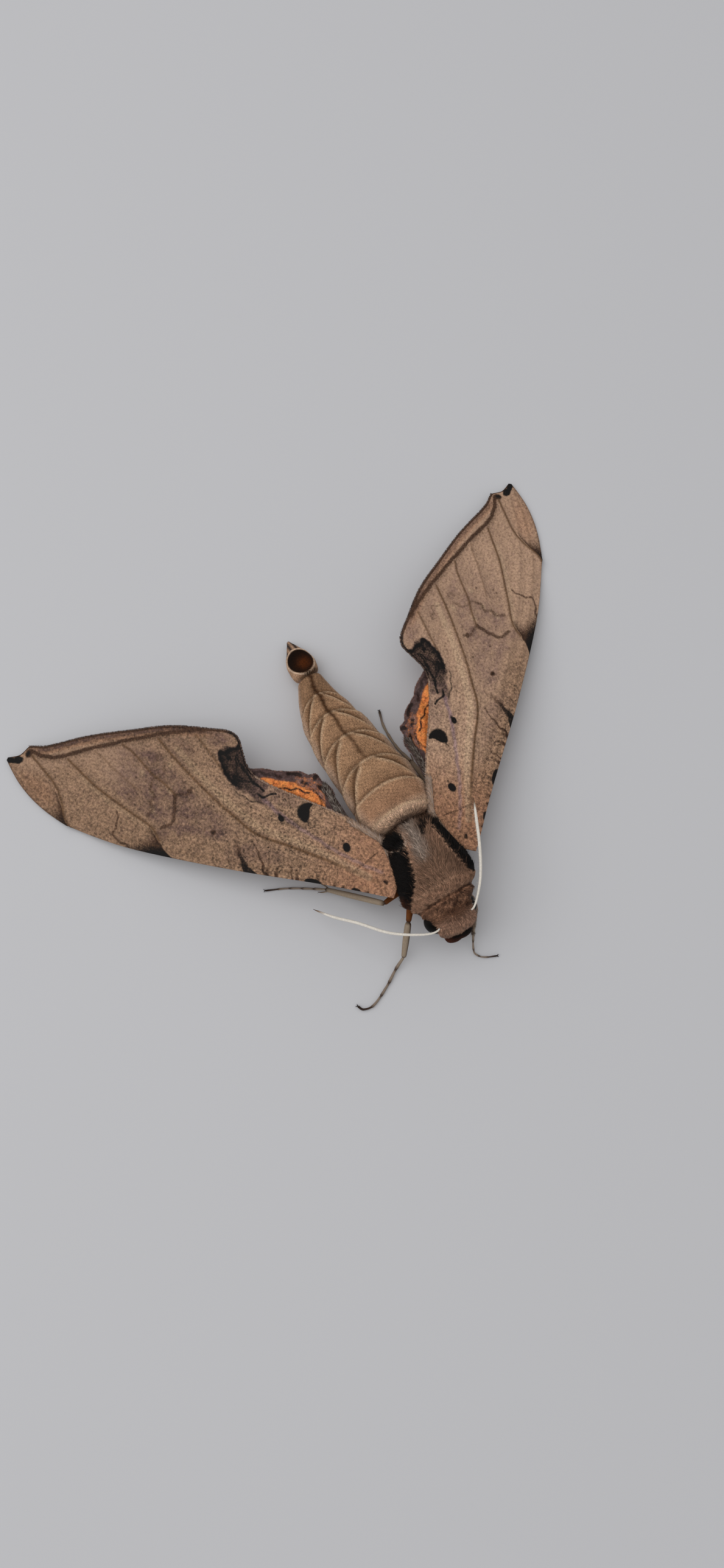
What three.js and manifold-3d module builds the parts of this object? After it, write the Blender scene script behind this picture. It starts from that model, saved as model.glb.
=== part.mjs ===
// A hawk moth at rest, life size: millimetres, +Z up, head towards -Y, the moth's left on +X.
// Lengths along the body (y) run from the line between the two wing bases, positive towards the tail.
import * as THREE from 'three';
import { mergeVertices } from 'three/addons/utils/BufferGeometryUtils.js';
import Module from 'manifold-3d';

const wasm = await Module();
wasm.setup();

// ---- driving dimensions ----
const CLEARANCE = 0.3; // gap between pieces that touch
const FLOOR_SINK = 0.12; // how far a foot, the tail or a wing edge is cut to make its flat
const SIDES = [['left', 1], ['right', -1]];

const WING_BASE_X = 4;
const WING_BASE_Z = 6.5;
const WING_SWEEP = { left: 52.1, right: 49.6 }; // degrees back from straight out
const WING_DROOP = 5.5; // degrees down from base to tip
const WING_TWIST = -12; // degrees, inner margin raised
const WING_LENGTH = 54.4;
const WING_THICKNESS = 0.6;
const TIP_SAG = 0.95; // further drop of the outer wing, which brings its edge to the floor
const TIP_SAG_FROM = 22;
const HINDWING_DROP = WING_THICKNESS + CLEARANCE; // centre to centre

const HEAD_X = -0.7;
const EYE_RADIUS = 1.4;
const EYE_SPREAD = 2.1;
const EYE_Y = -4.5;
const EYE_Z = 4.9;
const ANTENNA_RADIUS = 0.26;
const LEG_RADIUS = { femur: 0.7, tibia: 0.42, tarsus: 0.27 };

// ---- outlines ----
// Forewing edges as [distance out from the base, distance back], measured in the wing's own plane.
const FOREWING_COSTA = [
  [1.4, -1.2], [5, -1.65], [10, -2.35], [20, -4.05], [28, -5.15], [35, -5.85], [41, -5.85], [45, -5.45],
  [48.5, -4.4], [51.5, -2.75], [54.4, -0.35],
];
const FOREWING_REAR = [
  [1.4, 2.4], [4.8, 5], [7, 5.4], [10, 6.1], [16, 6.55], [20, 6.85], [22.4, 7.3], [24, 8.4],
  [25.2, 10.05], [26.2, 11.3], [27.4, 11.7], [30, 11.25], [35, 10.15], [40, 8.05], [45, 5.8], [50, 2.9],
  [52.1, 2.25], [52.5, 1.55], [53, 0.85], [54.4, 0.05],
];
const HINDWING_COSTA = [[3, 1.4], [10, 0.6], [20, 1.1], [28, 3.1], [33, 5.6]];
const HINDWING_REAR = [
  [3, 4], [6, 4.9], [9.5, 6.1], [11.4, 7.5], [13.2, 8.9], [14.8, 10.1], [16.8, 9.75], [18.4, 9.25],
  [21.6, 8.65], [23, 8.1], [26, 7.7], [30, 7.5], [33, 6.3],
];

// Body sections as [y, centre x, half width, lowest z, highest z].
const THORAX = [
  [-4.6, -0.55, 1.8, 3.6, 7.1], [-4.1, -0.5, 3.2, 2.9, 8], [-2.6, -0.35, 4.3, 2, 8.9],
  [-0.5, -0.25, 4.85, 1.4, 9.6], [2, -0.15, 4.8, 1.1, 9.9], [4.5, -0.1, 4.5, 1.1, 9.7],
  [6.3, -0.05, 3.9, 1.3, 9.2], [7.4, 0, 3.2, 1.9, 8.5],
];
const ABDOMEN = [
  [7.2, 0, 3.4, 1.6, 8.2], [8.2, 0, 4.4, 1, 8.9], [10, 0, 4.7, 0.6, 9.2], [13.5, -0.15, 4.65, 0.3, 9],
  [17, -0.5, 4.4, 0.05, 8.5], [20.5, -0.95, 4.15, 0, 7.9], [24.5, -1.2, 3.55, 0, 6.8],
  [27.8, -1.1, 2.7, 0, 5.5], [30.2, -0.7, 1.98, 0, 4.1], [31.3, -0.5, 1.7, 0, 3.5],
];
const ABDOMEN_TIP = [
  [31, -0.52, 1.35, 0.1, 2.9], [31.8, -0.5, 1.85, 0, 3.4], [33.2, -0.45, 1.95, 0, 3.3],
  [34.6, -0.4, 1.6, 0, 2.7], [35.8, -0.32, 1, 0.05, 1.9], [37.4, -0.25, 0.3, 0.15, 0.9],
];
const HEAD = [
  [-7, -0.65, 1.2, 4, 5.7], [-6.6, -0.65, 2, 3.4, 6.3], [-5.7, -0.65, 2.6, 2.9, 7],
  [-4.4, -0.7, 3, 2.7, 7.5], [-3.4, -0.6, 3, 3, 7.7],
];
const SEGMENT_JOINTS = [9.2, 12.55, 16.35, 20.45, 24.25, 27.5]; // where abdomen rings overlap
const SEGMENT_STEP = 0.1;

// Centre lines as [x, y, z], mirrored only where both sides lie alike.
const TEGULA = [
  [3.8, -2.3, 6.2], [4.05, -0.3, 7.4], [3.6, 1.6, 8.3], [3.05, 3.3, 8.7], [2.65, 4.9, 8.8],
  [2.35, 6.3, 8.5],
];
const ANTENNA = {
  left: [
    [0.7, -5.1, 5.9], [1.6, -5.5, 6.5], [2.55, -4.84, 7], [4.25, -2.8, 7.6], [5.9, 0.18, 8.2],
    [7.5, 3.78, 8.5], [8.4, 5.8, 8.5],
  ],
  right: [
    [-2.2, -5.1, 5.8], [-3.3, -5.7, 6.3], [-5.05, -5.2, 6.4], [-8.2, -3.05, 5.6], [-10.9, 0.05, 4.5],
    [-13, 2.4, 2.8], [-14.6, 4.55, 1.8],
  ],
};
const LEGS = {
  leg_front_left: {
    hip: [1.6, -1.4, 2.2],
    knee: [3.3, -4.2, 3],
    ankle: [1, -7.6, 1.5],
    foot: [[0.05, -9.6, 0.3], [0.4, -10.4, 0.15], [1.1, -10.9, 0.15], [2.3, -11.4, 0.15]],
  },
  leg_front_right: {
    hip: [-3.1, 0.2, 2.6],
    knee: [-5.5, -2.85, 3.9],
    ankle: [-7.8, -5.9, 0.9],
    foot: [
      [-9.4, -6.7, 0.4], [-11.3, -7.9, 0.15], [-13.9, -9.1, 0.15], [-15.2, -8.9, 0.15], [-15.6, -8.2, 0.15],
    ],
  },
  leg_mid_left: {
    hip: [3, 1.6, 2.4],
    knee: [6.6, 2.1, 4],
    ankle: [10.6, 7.6, 0.9],
    foot: [[12.4, 9.8, 0.35], [14, 11.8, 0.15], [15.6, 13.8, 0.15]],
  },
  leg_mid_right: {
    hip: [-3, 1.4, 2.4],
    knee: [-6.95, 0.5, 4.5],
    ankle: [-12, 6, 1.3],
    foot: [[-14.6, 7.8, 0.5], [-16.3, 8.8, 0.15], [-18.6, 9.8, 0.15]],
  },
  leg_hind_left: {
    hip: [2.6, 4.6, 1.8],
    knee: [6, 8.6, 3],
    ankle: [5.5, 15.2, 0.9],
    foot: [[5, 17.6, 0.4], [4.9, 19.6, 0.15], [5, 21.4, 0.15], [5.5, 23.2, 0.15]],
  },
  leg_hind_right: {
    hip: [-2.6, 4.6, 1.8],
    knee: [-6.4, 7.2, 3],
    ankle: [-7.6, 11.2, 1],
    foot: [[-7.6, 12.8, 0.4], [-7.4, 14.4, 0.15], [-7, 16, 0.15], [-7.1, 17.2, 0.15]],
  },
};

const finish = (color, roughness) => new THREE.MeshStandardMaterial({ color, roughness, metalness: 0 });
const WING_SCALES = finish(0x9c7d5f, 0.85);
const HINDWING_SCALES = finish(0xe0702c, 0.8);
const BODY_HAIR = finish(0x93755b, 0.9);
const DARK_HAIR = finish(0x1a1411, 0.9);
const EYE = finish(0x1c120d, 0.25);
const ANTENNA_CREAM = finish(0xe4dccb, 0.6);
const LEG = finish(0x8f7a66, 0.7);

// ---- small helpers ----
const degrees = THREE.MathUtils.degToRad;
const smoothstep = THREE.MathUtils.smoothstep;

// Value of a smooth line through rows of [position, value, ...], read from one column at a position.
function along(rows, position, column = 1) {
  const last = rows.length - 1;
  const x = THREE.MathUtils.clamp(position, rows[0][0], rows[last][0]);
  let i = 0;
  while (i < last - 1 && x > rows[i + 1][0]) i += 1;
  const slope = (j) => {
    const a = rows[Math.max(j - 1, 0)];
    const b = rows[Math.min(j + 1, last)];
    return (b[column] - a[column]) / (b[0] - a[0]);
  };
  const width = rows[i + 1][0] - rows[i][0];
  const t = (x - rows[i][0]) / width;
  const start = rows[i][column];
  const end = rows[i + 1][column];
  const rise = t * t * (3 - 2 * t);
  return start + (end - start) * rise + width * t * (1 - t) * (slope(i) * (1 - t) - slope(i + 1) * t);
}

// A closed solid from a closed geometry whose points are moved by a function; faces end up pointing out.
function solidFrom(geometry, move) {
  const shape = geometry.clone();
  const place = shape.attributes.position;
  const point = new THREE.Vector3();
  for (let i = 0; i < place.count; i += 1) {
    move(point.fromBufferAttribute(place, i));
    place.setXYZ(i, point.x, point.y, point.z);
  }
  shape.deleteAttribute('normal');
  shape.deleteAttribute('uv');
  const merged = mergeVertices(shape, 1e-5);
  const corners = Array.from(merged.index.array);
  const triangles = [];
  let volume = 0;
  const [a, b, c] = [new THREE.Vector3(), new THREE.Vector3(), new THREE.Vector3()];
  for (let i = 0; i < corners.length; i += 3) {
    const triple = corners.slice(i, i + 3);
    if (new Set(triple).size < 3) continue;
    triangles.push(triple);
    [a, b, c].forEach((v, k) => v.fromBufferAttribute(merged.attributes.position, triple[k]));
    volume += a.dot(b.cross(c));
  }
  const triVerts = Uint32Array.from(triangles.flatMap(([p, q, r]) => (volume > 0 ? [p, q, r] : [p, r, q])));
  const vertProperties = Float32Array.from(merged.attributes.position.array);
  return new wasm.Manifold(new wasm.Mesh({ numProp: 3, vertProperties, triVerts }));
}

function geometryFrom(solid, anchor) {
  const mesh = solid.getMesh();
  const geometry = new THREE.BufferGeometry();
  geometry.setAttribute('position', new THREE.BufferAttribute(Float32Array.from(mesh.vertProperties), 3));
  geometry.setIndex(Array.from(mesh.triVerts));
  geometry.translate(-anchor.x, -anchor.y, -anchor.z);
  geometry.computeVertexNormals();
  return geometry;
}

// Everything above the floor: cutting with it leaves flats at z = 0.
const ROOM = 400;
const aboveFloor = solidFrom(new THREE.BoxGeometry(ROOM, ROOM, ROOM), (p) => p.setZ(p.z + ROOM / 2));

const cutBy = (solid, ...others) => others.reduce((rest, other) => rest.subtract(other), solid);
const onFloor = (solid) => solid.intersect(aboveFloor);

// ---- shapes ----
// A body piece: oval sections along y, grown outwards by a clearance when it is used as a cutter.
function bodySolid(sections, { rounds, steps, grow = 0, ripple = () => 0 }) {
  const from = sections[0][0];
  const to = sections[sections.length - 1][0];
  const barrel = new THREE.CylinderGeometry(1, 1, 1, rounds, steps);
  return solidFrom(barrel, (p) => {
    const share = p.y + 0.5;
    const y = from + (to - from) * share;
    const endGrow = (share > 0.999 ? grow : 0) - (share < 0.001 ? grow : 0);
    const low = along(sections, y, 3);
    const high = along(sections, y, 4);
    const swell = grow + ripple(y);
    const round = Math.hypot(p.x, p.z);
    const x = along(sections, y, 1) + (round ? p.x * (along(sections, y, 2) + swell) : 0);
    const z = (low + high) / 2 + (round ? p.z * ((high - low) / 2 + swell) : 0);
    p.set(x, y + endGrow, z);
  });
}

// A limb: a round bar of changing radius along a smooth line through points.
function limbSolid(points, radii, { rounds = 8, steps = 24, grow = 0 }) {
  const stops = points.map((p) => new THREE.Vector3(...p));
  const curve = new THREE.CatmullRomCurve3(stops, false, 'centripetal');
  curve.arcLengthDivisions = 400;
  const frames = curve.computeFrenetFrames(steps, false);
  const bar = new THREE.CylinderGeometry(1, 1, 1, rounds, steps);
  return solidFrom(bar, (p) => {
    const share = THREE.MathUtils.clamp(p.y + 0.5, 0, 1);
    const step = Math.round(share * steps);
    const radius = along(radii, share) + grow;
    const { normals, binormals } = frames;
    const [sideways, upwards] = [p.x * radius, p.z * radius];
    p.copy(curve.getPointAt(share));
    p.addScaledVector(normals[step], sideways);
    p.addScaledVector(binormals[step], upwards);
  });
}

function ballSolid(centre, radii, { rounds = 12, grow = 0 }) {
  const ball = new THREE.SphereGeometry(1, rounds, Math.round(rounds * 0.7));
  const size = new THREE.Vector3(...radii).addScalar(grow);
  return solidFrom(ball, (p) => p.multiply(size).add(new THREE.Vector3(...centre)));
}

// Where a point of a wing lies: out along the wing, back across it, and up from its middle sheet.
function wingPlace(name, side, out, back, up) {
  const sweep = degrees(WING_SWEEP[name]);
  const droop = degrees(WING_DROOP);
  const twist = degrees(WING_TWIST);
  const ahead = new THREE.Vector3(side * Math.cos(sweep), Math.sin(sweep), 0);
  const level = new THREE.Vector3(-side * Math.sin(sweep), Math.cos(sweep), 0);
  const outward = ahead.multiplyScalar(Math.cos(droop)).setZ(-Math.sin(droop));
  const normal = outward.clone().cross(level).multiplyScalar(side);
  const backward = level.clone().multiplyScalar(Math.cos(twist)).addScaledVector(normal, -Math.sin(twist));
  const upward = normal.clone().multiplyScalar(Math.cos(twist)).addScaledVector(level, Math.sin(twist));
  const sag = TIP_SAG * smoothstep(out, TIP_SAG_FROM, WING_LENGTH - 3);
  return new THREE.Vector3(side * WING_BASE_X, 0, WING_BASE_Z - sag)
    .addScaledVector(outward, out).addScaledVector(backward, back).addScaledVector(upward, up);
}

// A wing sheet between its front and rear edge.
// The stations follow the points of its rear edge, so no corner is lost.
function wingSolid(name, side, costa, rear, { stations, across, drop = 0, grow = 0 }) {
  const sheet = new THREE.BoxGeometry(1, 1, 1, stations.length - 1, across, 1);
  const last = stations.length - 1;
  return solidFrom(sheet, (p) => {
    const row = Math.round((p.x + 0.5) * last);
    const out = stations[row] + (row === last ? grow : 0) - (row === 0 ? grow : 0);
    const front = along(costa, stations[row]) - grow;
    const behind = along(rear, stations[row]) + grow;
    const back = front + (behind - front) * (p.y + 0.5);
    p.copy(wingPlace(name, side, out, back, p.z * (WING_THICKNESS + 2 * grow) - drop));
  });
}

// Stations along a wing: those of its edge points, with long stretches halved until none is over the limit.
function stationsOf(rows, limit) {
  const stations = [rows[0][0]];
  rows.slice(1).forEach(([to]) => {
    const from = stations[stations.length - 1];
    const parts = Math.ceil((to - from) / limit);
    for (let i = 1; i <= parts; i += 1) stations.push(from + ((to - from) * i) / parts);
  });
  return stations;
}

// ---- the pieces ----
const pieces = [];
function addPiece(group, name, solid, material, anchor) {
  pieces.push({ group, name, solid, material, anchor });
}

const thoraxShape = { rounds: 24, steps: 14 };
const thoraxCutter = bodySolid(THORAX, { ...thoraxShape, grow: CLEARANCE });

// Each abdomen ring ends a little wider than the next one starts.
function ringStep(y) {
  const start = SEGMENT_JOINTS.filter((joint) => joint <= y).pop() ?? ABDOMEN[0][0];
  const end = SEGMENT_JOINTS.find((joint) => joint > y) ?? ABDOMEN[ABDOMEN.length - 1][0];
  return SEGMENT_STEP * ((y - start) / (end - start) - 1);
}
const abdomenShape = { rounds: 22, steps: 24, ripple: ringStep };
const sunkLow = (low) => (low < 0.04 ? low - FLOOR_SINK : low);
const sunk = (sections) => sections.map(([y, x, half, low, high]) => [y, x, half, sunkLow(low), high]);
const abdomen = onFloor(cutBy(bodySolid(sunk(ABDOMEN), abdomenShape), thoraxCutter));
const abdomenCutter = bodySolid(sunk(ABDOMEN), { ...abdomenShape, grow: CLEARANCE });
addPiece('body', 'abdomen', abdomen, BODY_HAIR, [0, ABDOMEN[0][0], 4.5]);

const tip = bodySolid(sunk(ABDOMEN_TIP), { rounds: 16, steps: 9 });
addPiece('body', 'abdomen_tip', onFloor(cutBy(tip, abdomenCutter)), BODY_HAIR, [-0.4, 31.3, 1.5]);

const eyes = SIDES.map(([name, side]) => {
  const centre = [HEAD_X + side * EYE_SPREAD, EYE_Y, EYE_Z];
  const radii = [EYE_RADIUS, EYE_RADIUS * 1.05, EYE_RADIUS * 1.1];
  addPiece('head', `eye_${name}`, ballSolid(centre, radii, {}), EYE, centre);
  return ballSolid(centre, radii, { grow: CLEARANCE });
});
addPiece('body', 'thorax', cutBy(bodySolid(THORAX, thoraxShape), ...eyes), BODY_HAIR, [0, 0, WING_BASE_Z]);

const headShape = { rounds: 20, steps: 9 };
const head = cutBy(bodySolid(HEAD, headShape), thoraxCutter, ...eyes);
const headCutter = bodySolid(HEAD, { ...headShape, grow: CLEARANCE });
addPiece('head', 'head', head, BODY_HAIR, [HEAD_X, EYE_Y, EYE_Z]);

SIDES.forEach(([name, side]) => {
  const x = HEAD_X - 0.1 + side * 0.95;
  const line = [[x, -5, 2.3], [x, -6.2, 2.6], [x, -6.95, 3.7], [x, -6.95, 5]];
  const palp = limbSolid(line, [[0, 0.5], [0.45, 0.8], [0.8, 0.8], [1, 0.45]], { steps: 10 });
  addPiece('head', `palp_${name}`, cutBy(palp, headCutter, ...eyes), DARK_HAIR, line[1]);
});

SIDES.forEach(([name]) => {
  const radii = [[0, ANTENNA_RADIUS * 1.2], [0.7, ANTENNA_RADIUS], [1, ANTENNA_RADIUS * 0.9]];
  const antenna = limbSolid(ANTENNA[name], radii, { rounds: 6, steps: 22 });
  addPiece('head', `antenna_${name}`, cutBy(antenna, headCutter, ...eyes), ANTENNA_CREAM, ANTENNA[name][1]);
});

const foreStations = stationsOf(FOREWING_REAR, 3.4);
const hindStations = stationsOf(HINDWING_REAR, 3.6);
const foreCutters = {};
SIDES.forEach(([name, side]) => {
  const foreShape = { stations: foreStations, across: 4 };
  const foreGrown = { ...foreShape, grow: CLEARANCE };
  const fore = wingSolid(name, side, FOREWING_COSTA, FOREWING_REAR, foreShape);
  foreCutters[name] = wingSolid(name, side, FOREWING_COSTA, FOREWING_REAR, foreGrown);
  const anchor = wingPlace(name, side, 0, 0, 0).toArray();
  const foreFlat = onFloor(cutBy(fore, thoraxCutter, abdomenCutter));
  addPiece('wings', `forewing_${name}`, foreFlat, WING_SCALES, anchor);
  const hindShape = { stations: hindStations, across: 3, drop: HINDWING_DROP };
  const hind = wingSolid(name, side, HINDWING_COSTA, HINDWING_REAR, hindShape);
  addPiece('wings', `hindwing_${name}`, cutBy(hind, thoraxCutter, abdomenCutter), HINDWING_SCALES, anchor);
});

// The tegula: a flap of long scales from the front of the wing base back over the thorax.
SIDES.forEach(([name, side]) => {
  const line = TEGULA.map(([x, y, z]) => [side * x - 0.2, y, z]);
  const flap = limbSolid(line, [[0, 0.65], [0.25, 0.95], [0.8, 0.95], [1, 0.55]], { rounds: 8, steps: 12 });
  const rest = cutBy(flap, thoraxCutter, abdomenCutter, foreCutters[name]);
  addPiece('body', `tegula_${name}`, rest, DARK_HAIR, line[1]);
});

// Two points near the ends of a straight limb joint, so that the line bends only at the joints.
const between = (from, to, share) => from.map((value, axis) => value + (to[axis] - value) * share);
const straight = (from, to) => [between(from, to, 0.15), between(from, to, 0.85)];
const distance = (from, to) => Math.hypot(...from.map((value, axis) => to[axis] - value));
const lengths = (points) => points.slice(1).map((point, i) => distance(points[i], point));
const pathLength = (points) => lengths(points).reduce((sum, length) => sum + length, 0);

Object.entries(LEGS).forEach(([name, { hip, knee, ankle, foot }]) => {
  const points = [hip, ...straight(hip, knee), knee, ...straight(knee, ankle), ankle, ...foot];
  const total = pathLength(points);
  const kneeAt = pathLength([hip, knee]) / total;
  const ankleAt = pathLength([hip, knee, ankle]) / total;
  const { femur, tibia, tarsus } = LEG_RADIUS;
  const radii = [
    [0, femur * 0.9],
    [kneeAt * 0.5, femur],
    [kneeAt, tibia * 0.9],
    [(kneeAt + ankleAt) / 2, tibia],
    [ankleAt, tarsus * 1.2],
    [(ankleAt + 1) / 2, tarsus],
    [1, tarsus * 0.95],
  ];
  const leg = limbSolid(points, radii, { rounds: 6, steps: 24 });
  addPiece('legs', name, onFloor(cutBy(leg, thoraxCutter, abdomenCutter)), LEG, knee);
});

// ---- the model ----
const group = new THREE.Group();
const branches = {};
pieces.forEach(({ group: branch, name, solid, material, anchor }) => {
  if (!branches[branch]) {
    branches[branch] = new THREE.Group();
    group.add(branches[branch]);
  }
  const place = new THREE.Vector3(...anchor);
  const mesh = new THREE.Mesh(geometryFrom(solid, place), material);
  mesh.name = name;
  mesh.position.copy(place);
  branches[branch].add(mesh);
});

// The origin is on the floor under the middle of the whole insect.
const box = new THREE.Box3().setFromObject(group);
const middle = box.getCenter(new THREE.Vector3());
group.position.set(-middle.x, -middle.y, -box.min.z);

export default group;
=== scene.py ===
# A streaked sphinx hawk moth at rest: skin, coat, wings, eyes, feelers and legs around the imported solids.
import math

import bpy
import numpy as np
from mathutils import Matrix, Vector


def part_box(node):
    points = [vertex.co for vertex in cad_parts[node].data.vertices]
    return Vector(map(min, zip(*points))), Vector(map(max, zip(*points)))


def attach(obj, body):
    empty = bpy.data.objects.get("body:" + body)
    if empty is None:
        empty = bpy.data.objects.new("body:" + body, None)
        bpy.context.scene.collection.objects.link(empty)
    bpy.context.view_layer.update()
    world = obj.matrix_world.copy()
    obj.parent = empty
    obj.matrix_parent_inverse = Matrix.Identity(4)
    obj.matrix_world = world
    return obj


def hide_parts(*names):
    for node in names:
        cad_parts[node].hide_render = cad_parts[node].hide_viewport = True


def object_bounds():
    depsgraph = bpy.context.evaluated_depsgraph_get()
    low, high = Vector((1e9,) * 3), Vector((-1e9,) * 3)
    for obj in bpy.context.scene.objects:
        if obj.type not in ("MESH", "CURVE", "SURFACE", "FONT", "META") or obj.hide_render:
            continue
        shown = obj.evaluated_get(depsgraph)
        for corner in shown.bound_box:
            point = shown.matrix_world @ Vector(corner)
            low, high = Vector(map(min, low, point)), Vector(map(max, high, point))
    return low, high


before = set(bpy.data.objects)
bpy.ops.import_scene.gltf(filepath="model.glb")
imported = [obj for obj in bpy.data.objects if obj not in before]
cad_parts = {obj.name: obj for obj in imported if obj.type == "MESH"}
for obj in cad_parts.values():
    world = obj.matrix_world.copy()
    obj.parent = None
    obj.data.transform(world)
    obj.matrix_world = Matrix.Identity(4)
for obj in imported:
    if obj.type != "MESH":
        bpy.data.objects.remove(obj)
cad_low, cad_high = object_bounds()

# ---- the insect's own frame: millimetres, y back from the wing bases, x to the moth's left ----
MM = 0.001
SIDES = (("left", 1), ("right", -1))
HEAD_X, EYE_Y, EYE_Z, EYE_RADIUS, EYE_SPREAD = -0.7, -4.5, 4.9, 1.4, 2.1
eye_boxes = [corner for name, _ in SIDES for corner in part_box("eye_" + name)]
eye_middle = sum(eye_boxes, Vector()) / len(eye_boxes)
ORIGIN = eye_middle - Vector((HEAD_X, EYE_Y, EYE_Z)) * MM

WING_BASE = np.array([4.0, 0.0, 6.5])
WING_SWEEP = {"left": 52.1, "right": 49.6}
WING_DROOP = 5.5
WING_TWIST = -12
WING_LENGTH = 54.4
TIP_SAG = 0.95
TIP_SAG_FROM = 22
HINDWING_DROP = 0.9
WING_SKIN = 0.26  # thickness shown, inside the thicker plates of the solids
FLOOR_EASE = 0.18  # a wing's middle sheet never comes nearer the floor than this
FLOOR_EASE_BEND = 0.02  # how gently it turns level there

FOREWING_COSTA = [(1.4, -1.2), (5, -1.65), (10, -2.35), (20, -4.05), (28, -5.15), (35, -5.85), (41, -5.85),
                  (45, -5.45), (48.5, -4.4), (51.5, -2.75), (54.4, -0.35)]
FOREWING_REAR = [(1.4, 2.4), (4.8, 5), (7, 5.4), (10, 6.1), (16, 6.55), (20, 6.85), (22.4, 7.3), (24, 8.4),
                 (25.2, 10.05), (26.2, 11.3), (27.4, 11.7), (30, 11.25), (35, 10.15), (40, 8.05), (45, 5.8),
                 (50, 2.9), (52.1, 2.25), (52.5, 1.55), (53, 0.85), (54.4, 0.05)]
HINDWING_COSTA = [(3, 1.4), (10, 0.6), (20, 1.1), (28, 3.1), (33, 5.6)]
HINDWING_REAR = [(3, 4), (6, 4.9), (9.5, 6.1), (11.4, 7.4), (12.4, 8.2), (12.9, 8.75), (13.6, 9.15),
                 (14.4, 9.35), (14.9, 9.7), (15.4, 10.0), (15.8, 9.75), (16.3, 9.55), (17.2, 9.65),
                 (18.1, 9.45), (19.2, 9.1), (20.1, 8.8), (21.4, 8.7), (22.2, 8.5), (23.3, 8.1),
                 (24.4, 7.75), (26, 7.6), (30, 7.4), (33, 6.2)]

# Body sections as (y, centre x, half width, lowest z, highest z).
THORAX = [(-4.6, -0.55, 1.8, 3.6, 7.1), (-4.1, -0.5, 3.2, 2.9, 8), (-2.6, -0.35, 4.3, 2, 8.9),
          (-0.5, -0.25, 4.85, 1.4, 9.6), (2, -0.15, 4.8, 1.1, 9.9), (4.5, -0.1, 4.5, 1.1, 9.7),
          (6.3, -0.05, 3.9, 1.3, 9.2), (7.4, 0, 3.2, 1.9, 8.5)]
ABDOMEN = [(7.2, 0, 3.4, 1.6, 8.2), (8.2, 0, 4.4, 1, 8.9), (10, 0, 4.7, 0.6, 9.2),
           (13.5, -0.15, 4.65, 0.3, 9), (17, -0.5, 4.4, 0.05, 8.5), (20.5, -0.95, 4.15, 0, 7.9),
           (24.5, -1.2, 3.55, 0, 6.8), (27.8, -1.1, 2.7, 0, 5.5), (30.2, -0.7, 1.98, 0, 4.1),
           (31.3, -0.5, 1.7, 0, 3.5)]
ABDOMEN_TIP = [(31, -0.52, 1.35, 0.1, 2.9), (31.8, -0.5, 1.85, 0, 3.4), (33.2, -0.45, 1.95, 0, 3.3),
               (34.6, -0.4, 1.6, 0, 2.7), (35.8, -0.32, 1, 0.05, 1.9), (37.4, -0.25, 0.3, 0.15, 0.9)]
HEAD = [(-7, -0.65, 1.2, 4, 5.7), (-6.6, -0.65, 2, 3.4, 6.3), (-5.7, -0.65, 2.6, 2.9, 7),
        (-4.4, -0.7, 3, 2.7, 7.5), (-3.4, -0.6, 3, 3, 7.7)]


# ---- small helpers ----
def along(rows, position, column=1):
    """Value of a smooth line through rows of (position, value, ...), read from one column."""
    table = np.array([(row[0], row[column]) for row in rows], float)
    places, values = table[:, 0], table[:, 1]
    slopes = np.empty(len(table))
    slopes[1:-1] = (values[2:] - values[:-2]) / (places[2:] - places[:-2])
    slopes[0] = (values[1] - values[0]) / (places[1] - places[0])
    slopes[-1] = (values[-1] - values[-2]) / (places[-1] - places[-2])
    x = np.clip(np.asarray(position, float), places[0], places[-1])
    i = np.clip(np.searchsorted(places, x, side="right") - 1, 0, len(table) - 2)
    width = places[i + 1] - places[i]
    t = (x - places[i]) / width
    rise = t * t * (3 - 2 * t)
    swing = width * t * (1 - t) * (slopes[i] * (1 - t) - slopes[i + 1] * t)
    return values[i] + (values[i + 1] - values[i]) * rise + swing


def smoothstep(low, high, x):
    t = np.clip((np.asarray(x, float) - low) / (high - low), 0, 1)
    return t * t * (3 - 2 * t)


def bell(distance, width):
    return np.exp(-(distance / width) ** 2)


def unit(vectors):
    return vectors / np.maximum(np.linalg.norm(vectors, axis=-1, keepdims=True), 1e-9)


def run_along(line):
    """How far along a polyline each of its points is."""
    return np.concatenate([[0], np.cumsum(np.linalg.norm(np.diff(line, axis=0), axis=1))])


def walk(line, at):
    """Places at given distances along a polyline."""
    run = run_along(line)
    return np.stack([np.interp(at, run, column) for column in line.T], axis=1)


def smooth_line(points, parts=6):
    """A polyline drawn smoothly through its points."""
    points = np.array(points, float)
    if len(points) < 3:
        return points
    run = run_along(points)
    at = np.interp(np.linspace(0, len(run) - 1, (len(run) - 1) * parts + 1), np.arange(len(run)), run)
    return np.stack([along(list(zip(run, column)), at) for column in points.T], axis=1)


def read(items, name, width=1, kind=np.float32):
    """One property of many mesh items, with a row for each."""
    values = np.empty(len(items) * width, kind)
    items.foreach_get(name, values)
    return values.reshape(-1, width) if width > 1 else values


def coords_of(piece):
    return read(piece.data.vertices, "co", 3).astype(float)


def normals_of(piece):
    return read(piece.data.vertex_normals, "vector", 3).astype(float)


def set_coords(piece, co):
    piece.data.vertices.foreach_set("co", np.asarray(co, np.float32).ravel())
    piece.data.update()


def named(piece, name):
    piece.name = name
    piece.data.name = name
    return piece


def paint(piece, name, values):
    """Stores one number or one colour for each vertex."""
    values = np.asarray(values, np.float32)
    kind = "FLOAT" if values.ndim == 1 else "FLOAT_COLOR"
    layer = piece.data.attributes.get(name) or piece.data.attributes.new(name, kind, "POINT")
    if values.ndim > 1:
        values = np.column_stack([values, np.ones(len(values), np.float32)])
    layer.data.foreach_set("value" if kind == "FLOAT" else "color", values.ravel())


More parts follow.
